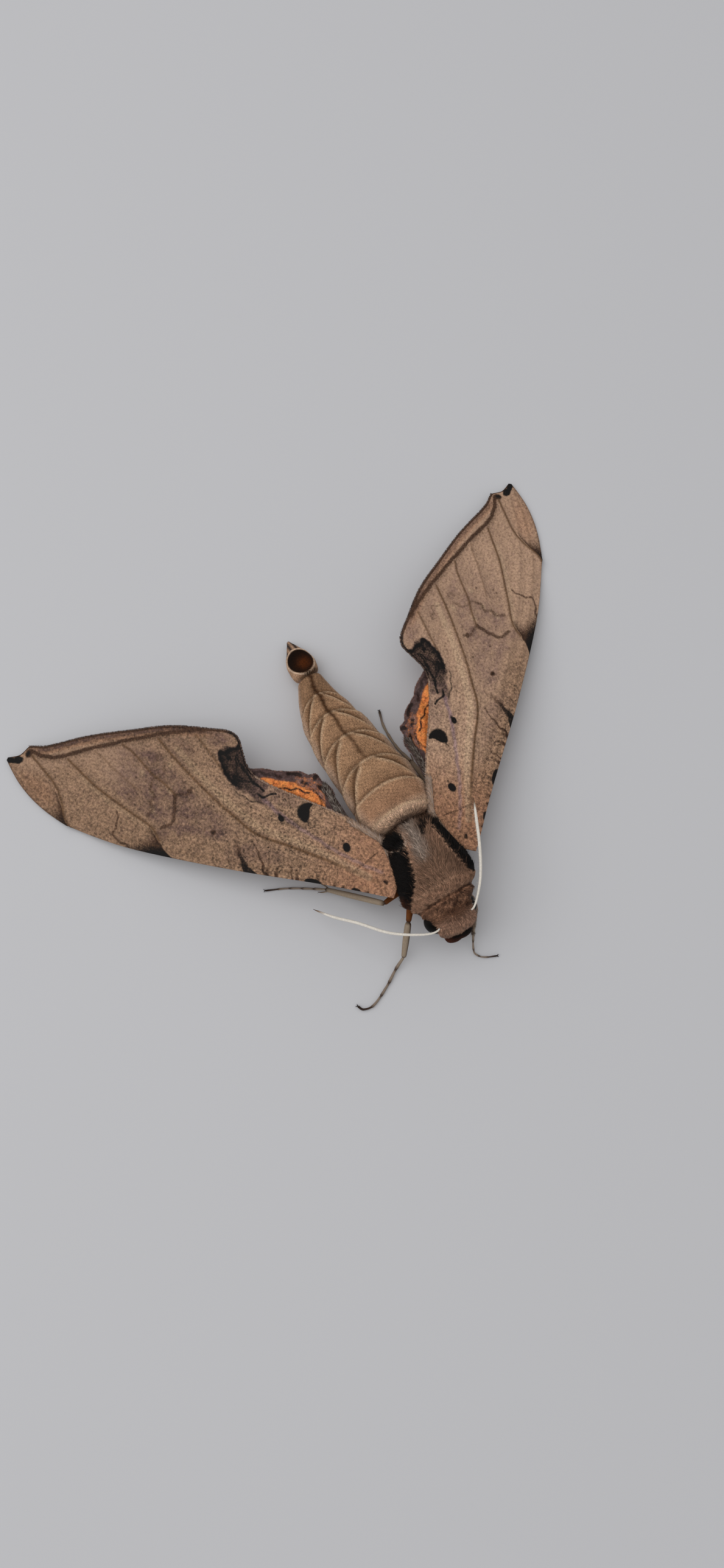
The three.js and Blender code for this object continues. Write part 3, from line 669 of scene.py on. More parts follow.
def forewing_marks(places):
    """The forewing's pattern as masks, from named lines and spots laid out along the veins."""
    masks = {name: np.zeros(len(places)) for name in WING_MASKS}
    dark, brown, haze, warm, vein, pale, _ = masks.values()
    out, back = places.T
    for points, strength in zip(FOREWING_VEINS, VEIN_STRENGTH):
        stroke(vein, places, points, 0.05, 0.13, strength)
        # painted shadow of brown, fading to one side of each vein
        stroke(brown, places, points, 0.1, 0.3, 0.3 * strength, fade=0.75)
    stroke(vein, places, COSTAL_VEIN, 0.06, 0.12, 0.25)
    vein *= 0.25 + 0.75 * smoothstep(4, 13, out)

    # Margins: the browner strip outside the fine dark band, and the fringe's dark edge.
    from_edge, from_costa = along(FOREWING_REAR, out) - back, back - along(FOREWING_COSTA, out)
    stroke(brown, places, SUBMARGINAL, 0.2, 0.3, 0.5, 0.03, fade=1.3)
    margin = smoothstep(27.5, 31, out) * smoothstep(52.6, 50, out)
    notch = smoothstep(21.5, 23.5, out) * smoothstep(28.5, 27, out)
    deepen(brown, 0.46 * margin * (1 - smoothstep(0.5, 1.3, from_edge)))
    deepen(haze, 1.1 * margin * (1 - smoothstep(0.45, 0.85, from_edge)))
    deepen(brown, 0.9 * smoothstep(26, 28, out) * (1 - smoothstep(0.12, 0.34, from_edge)))
    deepen(dark, 0.85 * notch * (1 - smoothstep(0.1, 0.4, from_edge)))
    deepen(brown, 0.55 * smoothstep(40, 44, out) * (1 - smoothstep(0.05, 0.5, from_costa)))
    deepen(brown, 0.35 * smoothstep(44, 50, out) * (1 - smoothstep(0.3, 1.3, from_costa)))

    # Costal wedges: each has one crisp inner edge and fades outwards, blackest at the costa.
    costal = np.exp(-(np.maximum(from_costa, 0) / 1.1) ** 2)
    for points, reach, costal_reach, dark_share in COSTAL_WEDGES:
        distance, hand, share = near_line(places, smooth_line(points))
        outside = np.where(hand < 0, distance, -distance)
        crisp = smoothstep(-0.12, 0.12, outside)
        fading = np.exp(-(np.maximum(outside, 0) / (reach + costal_reach * costal)) ** 1.5) * (share < 0.999)
        fading *= smoothstep(1.0, 0.55, share) * 0.4 + 0.6
        deepen(brown, crisp * fading)
        deepen(dark, crisp * np.maximum(fading * (0.25 + costal) - 0.12, 0) * dark_share)
    for start in COSTAL_STREAKS:
        streak = [(start, along(FOREWING_COSTA, start)), (start + 0.2, -1.4)]
        stroke(brown, places, streak, (0.3, 0.05), 0.25, (0.9, 0.1), 0.08)

    # The half-round spot of the inner margin.
    dome = np.zeros(len(places))
    spot(dome, places, (14.35, 5.25), (1.7, 1.3), 0, 0.14)
    deepen(dark, dome * smoothstep(14.3, 14.55, out + 0.12 * np.sin(back * 3)))

    # The black and purple-grey patch at the tornus.
    inside = np.minimum(back - along(TORNUS_UPPER, out), along(TORNUS_LOWER, out) - back)
    inside += 0.08 * np.sin(out * 6 + back * 4)
    inside += 0.2 * np.sin(out * 2.3 - back * 2.9)
    patch = smoothstep(-0.45, 0.35, inside) * smoothstep(19.6, 21, out) * smoothstep(28.3, 27.6, out)
    rim = np.exp(-((inside - 0.35) / 0.5) ** 2)
    outer = smoothstep(22.5, 25, out)
    cloud = 0.12 * np.sin(out * 3.9 + back * 2.1) * np.sin(back * 3.3 - out)
    deepen(haze, 1.5 * patch)
    deepen(brown, 0.5 * patch * smoothstep(20, 24, out))
    deepen(dark, patch * (0.47 + cloud + 0.12 * outer + 0.45 * rim * outer))

    # Broad tones.
    broken = 0.8 + 0.4 * np.sin(out * 1.1 + back) * np.sin(back * 1.6 - out * 0.4)
    above_vein, below_vein = along(HAZE_TOP, out), along(HAZE_BOTTOM, out)
    between_veins = smoothstep(21, 25, out) * smoothstep(43, 36, out)
    between_veins *= smoothstep(-0.2, 0.6, back - above_vein) * smoothstep(0.1, 1.4, below_vein - back)
    beyond = smoothstep(30, 33, out) * smoothstep(38, 35, out) * smoothstep(0, 0.8, back - below_vein)
    deepen(haze, broken * between_veins)
    deepen(haze, 0.6 * broken * beyond * smoothstep(1.2, 2, from_edge))
    deepen(haze, 0.6 * smoothstep(15, 17, out) * smoothstep(24, 22, out) * smoothstep(4.7, 5.5, back))
    deepen(warm, 0.75 * smoothstep(15, 5, out))
    deepen(warm, 0.35 * margin * (1 - smoothstep(0.9, 1.3, from_edge)))
    deepen(pale, 0.6 * smoothstep(0.5, 0.0, from_edge) * smoothstep(14, 9, out))
    for name, *line in FOREWING_STROKES:
        stroke(masks[name], places, *line)
    for name, *oval in FOREWING_SPOTS:
        spot(masks[name], places, *oval)
    return list(masks.values())


def forewing_light_and_shade(side, places):
    """From 0, darkened by painted shade, to 1, paled by painted light: the two wings are painted as lit
    unalike.
    """
    out, back = places.T
    base = smoothstep(14, 5, out)
    costal = smoothstep(4.2, 1.2, back - along(FOREWING_COSTA, out)) * smoothstep(5, 12, out)
    if side < 0:
        rear_strip = bell(along(FOREWING_REAR, out) - back - 2.4, 1.3) * smoothstep(35, 41, out)
        outer = 0.5 * bell(np.hypot((out - 39.5) / 3.2, (back - 2.8) / 1.7), 1)
        lit_up = 0.5 * base + 0.4 * rear_strip + 0.35 * bell(out - 22, 3.0) * smoothstep(3, 5.5, back) + outer
        return 0.06 + lit_up - 0.1 * costal * smoothstep(42, 38, out)
    return 0.85 - 0.45 * base - 0.75 * costal * smoothstep(35, 24, out) + 0.2 * bell(out - 41, 4.0)


def vein_relief(places, veins, strengths):
    """Height of the wing sheet: thin ribs on the veins and shallow troughs between them."""
    nearest = np.full(len(places), 9.0)
    height = np.zeros(len(places))
    for points, strength in zip(veins, strengths):
        distance, _, _ = near_line(places, smooth_line(points, 3))
        height = np.maximum(height, 0.16 * strength * np.exp(-(distance / 0.2) ** 2))
        nearest = np.minimum(nearest, distance + (1 - strength) * 0.8)
    trough = -0.24 * (1 - np.exp(-(nearest / 1.1) ** 2))
    out, back = places.T
    ripple = 0.05 * np.sin(out * 0.55 + back * 0.8) * np.sin(out * 0.23 - back * 0.5 + 1.3)
    return height + trough + ripple


def forewing_height(places):
    return vein_relief(places, FOREWING_VEINS + [COSTAL_VEIN, RADIAL_VEIN], VEIN_STRENGTH + [0.6, 0.6])


def wing_sheet(costa, rear, columns, rows):
    """A flat grid whose points are given places (out, back) between a wing's two edges."""
    select_only()
    bpy.ops.mesh.primitive_grid_add(x_subdivisions=columns, y_subdivisions=rows, size=1)
    sheet = bpy.context.object
    share = coords_of(sheet)[:, :2] + 0.5
    first, last = max(costa[0][0], rear[0][0]), min(costa[-1][0], rear[-1][0])
    out = first + (last - first) * share[:, 0]
    front, behind = along(costa, out), along(rear, out)
    places = np.stack([out, front + (behind - front) * share[:, 1]], axis=1)
    return sheet, places, share


def bake_map(piece, corners):
    """Gives a piece the map that its colours are stored through."""
    layer = piece.data.uv_layers.new(name="OFBake")
    vertex = read(piece.data.loops, "vertex_index", kind=np.int32)
    layer.data.foreach_set("uv", np.asarray(corners, np.float32)[vertex].ravel())


def wing_surface(name, side, places, height):
    """Points of a wing's middle sheet, eased so that they stay just above the floor."""
    surface = wing_place(name, side, places[:, 0], places[:, 1], height)
    lift = surface[:, 2] - FLOOR_EASE
    surface[:, 2] = FLOOR_EASE + (lift + np.sqrt(lift ** 2 + FLOOR_EASE_BEND)) / 2
    return surface


def finish_wing(sheet, kind, wing, places, share, height, *materials):
    """Bends a flat sheet to the wing's shape, gives it its thickness and settles it."""
    side_name, side = wing
    count = len(places)
    set_coords(sheet, wing_surface(side_name, side, places, height))
    if side < 0:
        sheet.data.flip_normals()
    paint(sheet, "wing_place", np.column_stack([places, np.zeros(count)]))
    select_only(sheet)
    wall = sheet.modifiers.new("wall", "SOLIDIFY")
    wall.thickness = WING_SKIN
    wall.offset = 0
    wall.material_offset = 1
    wall.use_quality_normals = True
    bpy.ops.object.modifier_apply(modifier=wall.name)
    corners = np.tile(share, (2, 1)) * (0.98, 0.47) + 0.01
    corners[count:, 1] += 0.5
    bake_map(sheet, corners)
    settle(named(sheet, f"{kind}_{side_name}_skin"), kind + "_scales", [f"{kind}_{side_name}"], *materials)


FOREWING_TOP = forewing_material()
WING_UNDER = underside_material()
GRID = ((380, 110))

for wing in SIDES:
    side = wing[1]
    grid, spots, shares = wing_sheet(FOREWING_COSTA, FOREWING_REAR, *GRID)
    marks = forewing_marks(spots)
    hazy = 0.75 - 0.35 * smoothstep(33, 37, spots[:, 0]) if side > 0 else 1.1  # the left wing has less haze
    marks[WING_MASKS.index("haze")] *= hazy
    paint(grid, "wing_marks", np.column_stack(marks[:3]))
    paint(grid, "wing_tones", np.column_stack(marks[3:6]))
    paint(grid, "wing_lilac", marks[6])
    # painted light and shade, laid differently on the two wings
    paint(grid, "wing_light_and_shade", forewing_light_and_shade(side, spots))
    finish_wing(grid, "forewing", wing, spots, shares, forewing_height(spots), FOREWING_TOP, WING_UNDER)

# ---- hindwings: mostly hidden, with an orange field, a wavy streak and a dark, crumpled margin ----
ORANGE_EDGE = [(11, 5.2), (12.5, 6.2), (13.2, 6.8), (14.2, 7.5), (15.3, 7.9), (16.7, 7.9), (17.7, 8.15),
               (18.8, 8.05), (20, 7.85), (21.2, 7.7), (22.1, 7.35), (23, 6.8), (33, 5)]
HINDWING_STROKES = [
    ([(21, 6.3), (20.3, 6.5), (19.1, 7.0), (17.8, 7.35), (16.8, 7.55), (15.5, 7.5)], 0.07, 0.2, 0.75, 0.08),
    ([(18.8, 9.05), (17.9, 9.3), (17.2, 9.3)], 0.25, 0.3, 0.85),
    ([(22.8, 7.9), (21, 8.2), (19.4, 8.5)], 0.15, 0.4, 0.6, 0.1),
    ([(13.4, 6.6), (14.3, 7.7), (15.2, 8.2)], 0.1, 0.25, 0.6),
]
HINDWING_SPOTS = [
    ((16.5, 8.55), (0.6, 0.28), 10, 0.6, 0.7), ((15.3, 9.6), (0.35, 0.3), 60, 0.5),
    ((14.3, 8.7), (0.55, 0.25), 20, 0.5, 0.85), ((13.2, 8.2), (0.5, 0.35), 50, 0.5, 0.9),
]


def hindwing_marks(places):
    """Masks of the hindwing: dark marks, the purple-brown margin, and its pinkish inner corner."""
    dark = np.zeros(len(places))
    out, back = places.T
    from_edge = along(HINDWING_REAR, out) - back
    beyond = back - along(ORANGE_EDGE, out)
    margin = smoothstep(-0.28, 0.28, beyond)
    deepen(margin, smoothstep(12.9, 11.6, out) * smoothstep(3, 5, back))
    corner = smoothstep(-0.1, 0.3, beyond) * smoothstep(18.3, 17, out) * smoothstep(12.8, 13.6, out)
    blotches = 0.55 + 0.45 * np.sin(out * 3.1 + 2) * np.sin(back * 4.2)
    pink = corner * smoothstep(0.1, 0.4, from_edge) * blotches
    margin *= 1 - 0.9 * pink
    for line in HINDWING_STROKES:
        stroke(dark, places, *line)
    for oval in HINDWING_SPOTS:
        spot(dark, places, *oval)
    deepen(pink, 0.8 * smoothstep(0.13, 0.03, from_edge))
    return dark, margin, pink


def hindwing_relief(places):
    """Height of the hindwing's sheet: folds fanned from its base, and a crumpled margin."""
    out, back = places.T
    fan = np.arctan2(back - 1.0, out - 2.0)
    folds = 0.18 * np.sin(fan * 48 + np.sin(out * 0.8)) * smoothstep(5, 8, back)
    crumple = 0.22 * np.sin(out * 2.6 + 0.7) * np.sin(back * 2.3) * smoothstep(7.6, 9, back)
    return folds + crumple


HINDWING_TOP = hindwing_material()
for wing in SIDES:
    grid, spots, shares = wing_sheet(HINDWING_COSTA, HINDWING_REAR, *[count // 2 + 20 for count in GRID])
    paint(grid, "wing_marks", np.column_stack(hindwing_marks(spots)))
    height = hindwing_relief(spots) - HINDWING_DROP
    finish_wing(grid, "hindwing", wing, spots, shares, height, HINDWING_TOP, WING_UNDER)


# ---- the body's colours, the same for skin and coat ----
ABDOMEN_TAN = srgb(155, 120, 91)
# pale ring edges, and painted highlight along the flanks' folds
ABDOMEN_PALE = srgb(182, 153, 124)
ABDOMEN_FRONT = srgb(156, 118, 91)
ABDOMEN_BASE = srgb(203, 171, 145)
RING_SHADE = srgb(84, 58, 38)
MIDLINE_BROWN = srgb(62, 38, 20)
PIT_BROWN = srgb(20, 8, 2)
PIT_GLOW = srgb(78, 36, 8)
TIP_PALE = srgb(170, 136, 110)
THORAX_BROWN = srgb(137, 106, 86)
THORAX_WARM = srgb(158, 122, 99)
THORAX_DARK = srgb(84, 58, 44)
TUFT_GREY = srgb(176, 159, 146)
HEAD_PINK = srgb(171, 134, 112)
HEAD_DARK = srgb(88, 58, 42)
NECK_TAN = srgb(130, 95, 74)
NECK_DARK = srgb(56, 34, 24)
REDDISH_BROWN = srgb(72, 37, 24)
UNDER_TAN = srgb(186, 158, 137)
PIT_RIM = srgb(196, 172, 150)
WAIST_BROWN = srgb(46, 31, 22)
CLASPER_GREY = srgb(44, 35, 32)
SPOT_RIM = srgb(176, 156, 140)
FLAP_RUST = srgb(72, 40, 24)
RINGS = [9.2, 12.55, 16.35, 20.45, 24.25, 27.5]
COLLAR_DOTS = ((-4.2, 0.3), (-2.8, 0.34), (-2.1, 0.2), (-1.5, 0.28), (-0.2, 0.2), (1.3, 0.3), (2.1, 0.36),
               (2.8, 0.3))
FULL_RINGS_FROM = 10  # rings ahead of this are fainter
FOLDS_FROM = 14  # and those behind this have side folds


def plain(colour, count):
    """One colour for many places."""
    return np.tile(np.array(colour[:3]), (count, 1))


def layered(colour, *layers):
    """A colour under layers of (colour, share), the last on top."""
    for target, share in layers:
        share = np.clip(share, 0, 1)[:, None]
        colour = colour * (1 - share) + np.array(target)[..., :3] * share
    return colour


def body_centre(y):
    """The body's axis: where its sections are seen from."""
    whole = HEAD[:3] + [(-4, -0.6, 0, 2.9, 7.7)] + THORAX[3:7] + ABDOMEN[1:9] + ABDOMEN_TIP[1:]
    rows = [(row[0], row[1], (row[3] + row[4]) / 2) for row in whole]
    return along(rows, y, 1), along(rows, y, 2)


def round_body(points):
    """The body's axis beside each point, and the point's angle round it from the top of the back."""
    x, y, z = points.T
    axis_x, axis_z = body_centre(y)
    return axis_x, axis_z, np.arctan2(x - axis_x, z - axis_z)


def ring_gaps(y, around, ring):
    """How far behind a ring's rear edge a place is, and how far behind the ring's side fold.

    The fold leaves the ring near the midline and runs forward down the flank."""
    turn = np.abs(around)
    bend = 1.9 if ring > FOLDS_FROM else np.where(around < 0, 0.8, 1.5)
    hoop = ring - bend * (turn / 1.35) ** 1.9
    fold = ring - 0.05 - 3.2 * (turn / 0.98) ** 1.6
    return y - hoop, (y - fold) / np.sqrt(1 + (turn * 1.5) ** 2)


def collar_line(x, y):
    """How far behind the collar's ridge a place is."""
    return y + 2.3 - 0.022 * np.maximum(x, 0) ** 2


def pit_distance(x, y):
    """1 on the rim of the dark pit near the tail's end, less inside it."""
    return np.hypot((x + 0.4) / 1.68, (y - 33.42) / 1.92)


def clumps(x, y):
    """Uneven clumps of hair, about a third of a millimetre across: dark at -1, pale at 1."""
    wave = np.sin(9.1 * x + 3.7 * y + 1.3 * np.sin(2.3 * y))
    wave *= np.sin(8.3 * y - 4.4 * x + 1.7 * np.sin(1.9 * x))
    finer = np.sin(15.7 * x - 6.1 * y + 2 * np.sin(3.1 * y + 1))
    finer *= np.sin(14.1 * y + 5.3 * x + 1.5 * np.sin(2.7 * x))
    return 0.55 * wave + 0.45 * finer


def abdomen_colour(x, y, z, axis_x, axis_z, around):
    turn = np.abs(around)
    colour = layered(
        plain(ABDOMEN_TAN, len(x)),
        (ABDOMEN_FRONT, smoothstep(15, 9.5, y)),
        (ABDOMEN_BASE, smoothstep(10, 8.2, y)),
        (RING_SHADE, 0.35 * smoothstep(25, 29, y)),
        (UNDER_TAN, 0.7 * smoothstep(0.85, 1.4, turn)))
    for ring in RINGS:
        gap, fold_gap = ring_gaps(y, around, ring)
        side_fold = smoothstep(0.16, 0.35, turn) * smoothstep(1.9, 1.2, turn) * (ring > FOLDS_FROM)
        # painted shade in the dip behind each ring's pale edge; on the flanks, painted highlight on each
        # fold's ridge and painted shade in the trough behind it
        colour = layered(
            colour,
            (RING_SHADE, 0.3 * bell(gap - 0.9, 0.9) * bell(turn, 0.5)),
            (RING_SHADE, (0.62 if ring > FULL_RINGS_FROM else 0.25) * bell(gap - 0.25, 0.22)),
            (ABDOMEN_PALE, 0.85 * bell(gap + 0.1, 0.17)),
            (RING_SHADE, 0.95 * side_fold * bell(fold_gap - 0.22, 0.3)),
            (ABDOMEN_PALE, 0.9 * side_fold * bell(fold_gap + 0.22, 0.24)))
    wander = 0.1 * np.sin(y * 1.7) + 0.05 * np.sin(y * 7.3)
    broad = 0.27 + 0.06 * smoothstep(20, 28, y) + 0.05 * np.sin(y * 2.9) + 0.03 * np.sin(y * 11)
    midline = bell((x - axis_x - 0.12 - wander) / broad, 1)
    midline *= smoothstep(15.5, 18, y) * smoothstep(31.5, 31, y)
    midline *= (z > axis_z) * (0.8 + 0.2 * smoothstep(18, 27, y))
    waist = bell(y - 31.35 - 0.12 * np.sin(around * 9), 0.35) * (0.5 + 0.5 * np.sin(around * 11 + 1) ** 2)
    waist = np.maximum(waist * smoothstep(-1.3, -0.5, x), 0.7 * bell(y - 31.1, 0.2))
    waist *= smoothstep(1.8, 1.3, turn)
    pit = pit_distance(x, y)
    inside_pit = (z > 1.2) * (1 - smoothstep(0.94, 1.02, pit))
    claspers = smoothstep(35.0, 35.3, y) * (pit > 1.1) * (0.25 + 0.75 * np.sin((x + 0.25) * 4.2) ** 2)
    return layered(
        colour,
        (MIDLINE_BROWN, midline),
        (TIP_PALE, smoothstep(31.2, 31.6, y)),
        (PIT_RIM, 0.9 * (z > 1.2) * bell(pit - 1.05, 0.04)),
        (WAIST_BROWN, waist * (pit > 1.0)),
        (PIT_BROWN, inside_pit),
        (PIT_GLOW, inside_pit * 0.8 * bell(np.hypot(x + 0.1, y - 32.9), 0.9)),
        (CLASPER_GREY, claspers))


def thorax_colour(x, y, z, around):
    grey_tuft = bell(x + 0.62 - 0.12 * (y - 1.4), 0.72) * smoothstep(0.8, 2.2, y) * (z > 5)
    tuft_streaks = smoothstep(0.1, 0.9, np.sin(x * 5 + y * 2.2) * np.sin(y * 3.1))
    collar = collar_line(x, y)
    pronotum = smoothstep(-0.45, -0.65, collar)
    mottle = smoothstep(-0.3, 0.5, np.sin(x * 3.1 + 1) * np.cos(y * 3.3) + 0.45 * np.sin(x * 8 - y * 5))
    return layered(
        plain(THORAX_BROWN, len(x)),
        (THORAX_WARM, 0.8 * smoothstep(0.5, 3, y) * smoothstep(0.2, 1.4, np.abs(x - 0.2))),
        (THORAX_DARK, 0.5 * bell(y + 0.6, 1.0) * smoothstep(1.2, 2.6, x)),
        (TUFT_GREY, 0.9 * grey_tuft),
        (NECK_DARK, 0.45 * grey_tuft * tuft_streaks),
        (THORAX_WARM, 0.8 * bell(collar, 0.4)),
        (NECK_TAN, pronotum),
        (NECK_DARK, pronotum * mottle * (0.2 + 0.7 * bell(x - 0.5, 1.7))),
        (UNDER_TAN, 0.8 * smoothstep(1.7, 2.2, np.abs(around))))


def body_colour(points):
    """The coat's colour at points on or near the body, in the insect's frame."""
    x, y, z = points.T
    axis_x, axis_z, around = round_body(points)
    chest = smoothstep(7.9, 7.2, y + 0.25 * np.sin(x * 3))
    colour = layered(abdomen_colour(x, y, z, axis_x, axis_z, around), (thorax_colour(x, y, z, around), chest))
    uneven = 0.3 + 0.4 * smoothstep(8.5, 7, y)
    colour = colour * (1 + uneven * clumps(x, y) * smoothstep(33, 31, y))[:, None]
    face = smoothstep(-4.9, -5.4, y)
    colour = layered(
        colour,
        # painted shade where the thorax meets the abdomen
        (THORAX_DARK, 0.8 * bell(y - 7.5, 0.45) * bell(x - 0.2, 1.6) * (z > 5)),
        (np.array(HEAD_PINK[:3]) * (1 + 0.6 * clumps(x, y))[:, None], face),
        (HEAD_DARK, 0.8 * bell(y + 5.1, 0.5) * bell(x + 0.2, 1.5) * (np.abs(around) < 1.4)),
        (REDDISH_BROWN, face * smoothstep(4.3, 3.4, z)))
    collar = collar_line(x, y)
    for at, size in COLLAR_DOTS:
        dot = np.hypot((x - at) / size, (collar + 0.62 + 0.05 * math.sin(at * 5)) / 0.17)
        colour = layered(colour, (NEAR_BLACK, 0.95 * (z > 4.5) * (1 - smoothstep(0.6, 1.3, dot))))
    return layered(
        colour,
        (THORAX_DARK, 0.6 * bell(collar + 0.6, 0.16) * (z > 4)),
        (SPOT_RIM, bell(spot_gap(points) - 0.2, 0.12) * (y < 5.6) * (z > 6.5)),
        (NEAR_BLACK, black_mask(points)),
        (FLAP_RUST, flap_mask(points) * smoothstep(-0.2, -1.2, y) * smoothstep(-4.4, -5.2, x)))


# The black shoulder flaps as (y, x of the inner edge, lowest z), and the round spot behind the right one.
FLAP = {
    "left": [(-2.3, 4.3, 6.5), (-1.65, 3.8, 6.2), (-1.2, 3.6, 6.1), (-0.1, 3.2, 6.3), (0.85, 2.95, 6.7),
             (1.75, 2.75, 7.2), (2.7, 2.55, 7.5), (4.2, 2.5, 7.7), (5.2, 2.15, 7.8), (6.1, 2.2, 8.0)],
    "right": [(-2.3, -4.9, 5.4), (-1.75, -4.5, 5.2), (-1, -4.0, 5.4), (-0.2, -3.25, 5.9), (0.75, -2.7, 6.5),
              (2.7, -2.25, 7.1), (4.3, -1.8, 7.3), (4.6, -1.8, 7.4)],
}
BLACK_SPOT = (-2.6, 5.68)
BLACK_SPOT_RADIUS = 1.12
REAR_TUFTS = ((1.35, 6.05, 0.5), (0.75, 5.1, 0.4), (1.9, 6.4, 0.4), (2.9, 5.5, 0.5), (1.1, 5.6, 0.4))


def flap_mask(points, soft=0.14, ragged=1.0):
    """1 on the shoulder flaps, 0 off them."""
    x, y, z = points.T
    torn = ragged * (0.12 * np.sin(y * 9 + x * 3) + 0.08 * np.sin(y * 17 - x * 5))
    mask = np.zeros(len(points))
    for side_name, side in SIDES:
        rows = FLAP[side_name]
        past_inner = side * (x - along(rows, y, 1)) + torn
        above = z - along(rows, y, 2) + torn
        length = np.minimum(y - rows[0][0], rows[-1][0] - y) + torn
        gap = np.minimum(np.minimum(past_inner, above), length)
        mask = np.maximum(mask, smoothstep(-soft, soft, gap))
    return mask


def spot_gap(points):
    return np.hypot(points[:, 0] - BLACK_SPOT[0], points[:, 1] - BLACK_SPOT[1]) - BLACK_SPOT_RADIUS


def black_mask(points):
    x, y, z = points.T
    mask = flap_mask(points) * smoothstep(0.12, 0.32, spot_gap(points))
    mask = np.maximum(mask, (1 - smoothstep(-0.08, 0.1, spot_gap(points))) * (z > 6.9))
    for tuft_x, tuft_y, reach in REAR_TUFTS:
        mask = np.maximum(mask, 0.85 * bell(np.hypot(x - tuft_x, y - tuft_y), reach) * (z > 6))
    return mask


# ---- body skin: one closed shape from face to tail ----
def round_cap(share):
    """Height of a quarter circle, from 0 at its end to 1."""
    return np.sqrt(np.clip(1 - (1 - np.clip(share, 0, 1)) ** 2, 0, 1))


def oval_reach(rows, y, around, centre, coat, caps):
    """How far from the body's axis a piece's oval sections reach, at each place and angle.

    They shrink to nothing near each end of the piece, along a round cap."""
    ease = round_cap((y - rows[0][0]) / caps[0]) * round_cap((rows[-1][0] - y) / caps[1])
    low_z, high_z = along(rows, y, 3), along(rows, y, 4)
    half = np.maximum((along(rows, y, 2) - coat) * ease, 1e-4)
    tall = np.maximum(((high_z - low_z) / 2 - coat) * ease, 1e-4)
    px, pz = centre[0] - along(rows, y, 1), centre[1] - (low_z + high_z) / 2
    dx, dz = np.sin(around), np.cos(around)
    a = (dx / half) ** 2 + (dz / tall) ** 2
    b = px * dx / half ** 2 + pz * dz / tall ** 2
    c = (px / half) ** 2 + (pz / tall) ** 2 - 1
    inside = b * b - a * c
    reach = np.where(inside > 0, (np.sqrt(np.maximum(inside, 0)) - b) / a, 0)
    return np.where(ease > 0, np.maximum(reach, 0), 0)


BODY_FRONT, BODY_REAR = -7.0, 37.3
BODY_PIECES = [  # sections, depth of the coat over them, lengths of the round caps
    (HEAD, 0.2, (0.4, 0.6)),
    (THORAX, 0.42, (0.9, 1.3)),
    (ABDOMEN, 0.16, (1.0, 0.5)),
    (ABDOMEN_TIP, 0.1, (0.5, 1.5)),
]
BODY_FLOOR = 0.03  # the skin's lowest place
USUAL_REACH = 4  # about the body's half width, taken off so that the powers below stay small
LEAST_REACH = 0.02
FACE_SHARE = 0.06  # the skin's rings crowd together over this share of it, at the face
END_CROWDING = 0.006  # and a little towards both ends


def body_radius(y, around):
    """How far the skin is from the body's axis: the widest piece's reach, creased softly between pieces."""
    centre = body_centre(y)
    reaches = [oval_reach(rows, y, around, centre, coat, caps) for rows, coat, caps in BODY_PIECES]
    crease = 0.12 + 0.35 * bell(y + 4.6, 0.9)
    total = sum(np.exp((reach - USUAL_REACH) / crease) for reach in reaches)
    return np.maximum(USUAL_REACH + crease * np.log(total), LEAST_REACH)


def body_relief(y, around, points):
    """Height of rings, folds, collar, shoulder flaps and pit over the plain body."""
    x, _, z = points.T
    turn = np.abs(around)
    relief = np.zeros(len(y))
    for ring in RINGS:
        gap, fold_gap = ring_gaps(y, around, ring)
        side_fold = smoothstep(0.14, 0.4, turn) * smoothstep(2.0, 1.3, turn) * (ring > FOLDS_FROM)
        step = 1 if ring > FULL_RINGS_FROM else 0.4
        relief += step * (0.12 * smoothstep(-2.2, -0.1, gap) * (gap < 0.05) - 0.1 * bell(gap - 0.16, 0.16))
        relief += side_fold * (0.2 * bell(fold_gap + 0.3, 0.36) - 0.26 * bell(fold_gap - 0.2, 0.26))
    relief -= 0.22 * bell(y - 31.05, 0.3)
    midline = bell(x - body_centre(y)[0], 0.25) * smoothstep(16, 19, y) * smoothstep(31, 30, y)
    relief -= 0.06 * midline * (z > 2)
    pit = pit_distance(x, y)
    hollow = 1 - smoothstep(0.45, 1.02, pit)
    relief += smoothstep(1.0, 1.6, z) * (0.07 * bell(pit - 1.07, 0.07) - 0.45 * hollow)
    top = smoothstep(1.9, 1.3, turn)
    collar = collar_line(x, y)
    relief += top * (0.34 * bell(collar, 0.36) - 0.3 * bell(collar + 0.62, 0.2))
    relief += 0.3 * bell(y + 6.2, 0.8) * bell(turn - 1.3, 0.7)
    relief += 0.34 * bell(y + 4.5, 1.2) * bell(around - 1.0, 0.35)
    relief += 0.22 * bell(y + 4.4, 1.0) * bell(around + 1.05, 0.35)
    relief += 0.62 * flap_mask(points, 0.5, 0)
    relief += 0.6 * (1 - smoothstep(-0.9, 0.2, spot_gap(points))) * (z > 6.6)
    relief += 0.25 * bell(x + 0.3, 0.8) * bell(y - 3.8, 2.0) * (z > 6)
    return relief


def body_point(y, around):
    """Points of the skin, at places along the body and angles round it."""
    axis_x, axis_z = body_centre(y)

    def at(radius):
        return np.stack([axis_x + radius * np.sin(around), y, axis_z + radius * np.cos(around)], axis=1)

    radius = body_radius(y, around)
    ends = smoothstep(BODY_FRONT, BODY_FRONT + 1, y) * smoothstep(BODY_REAR, BODY_REAR - 1, y)
    return at(radius + body_relief(y, around, at(radius)) * ends)


def round_and_along(ball):
    """A unit ball's places as angles round its poles, and shares of the way from its top to its bottom."""
    return np.arctan2(ball[:, 0], ball[:, 1]), np.arccos(np.clip(ball[:, 2], -1, 1)) / math.pi


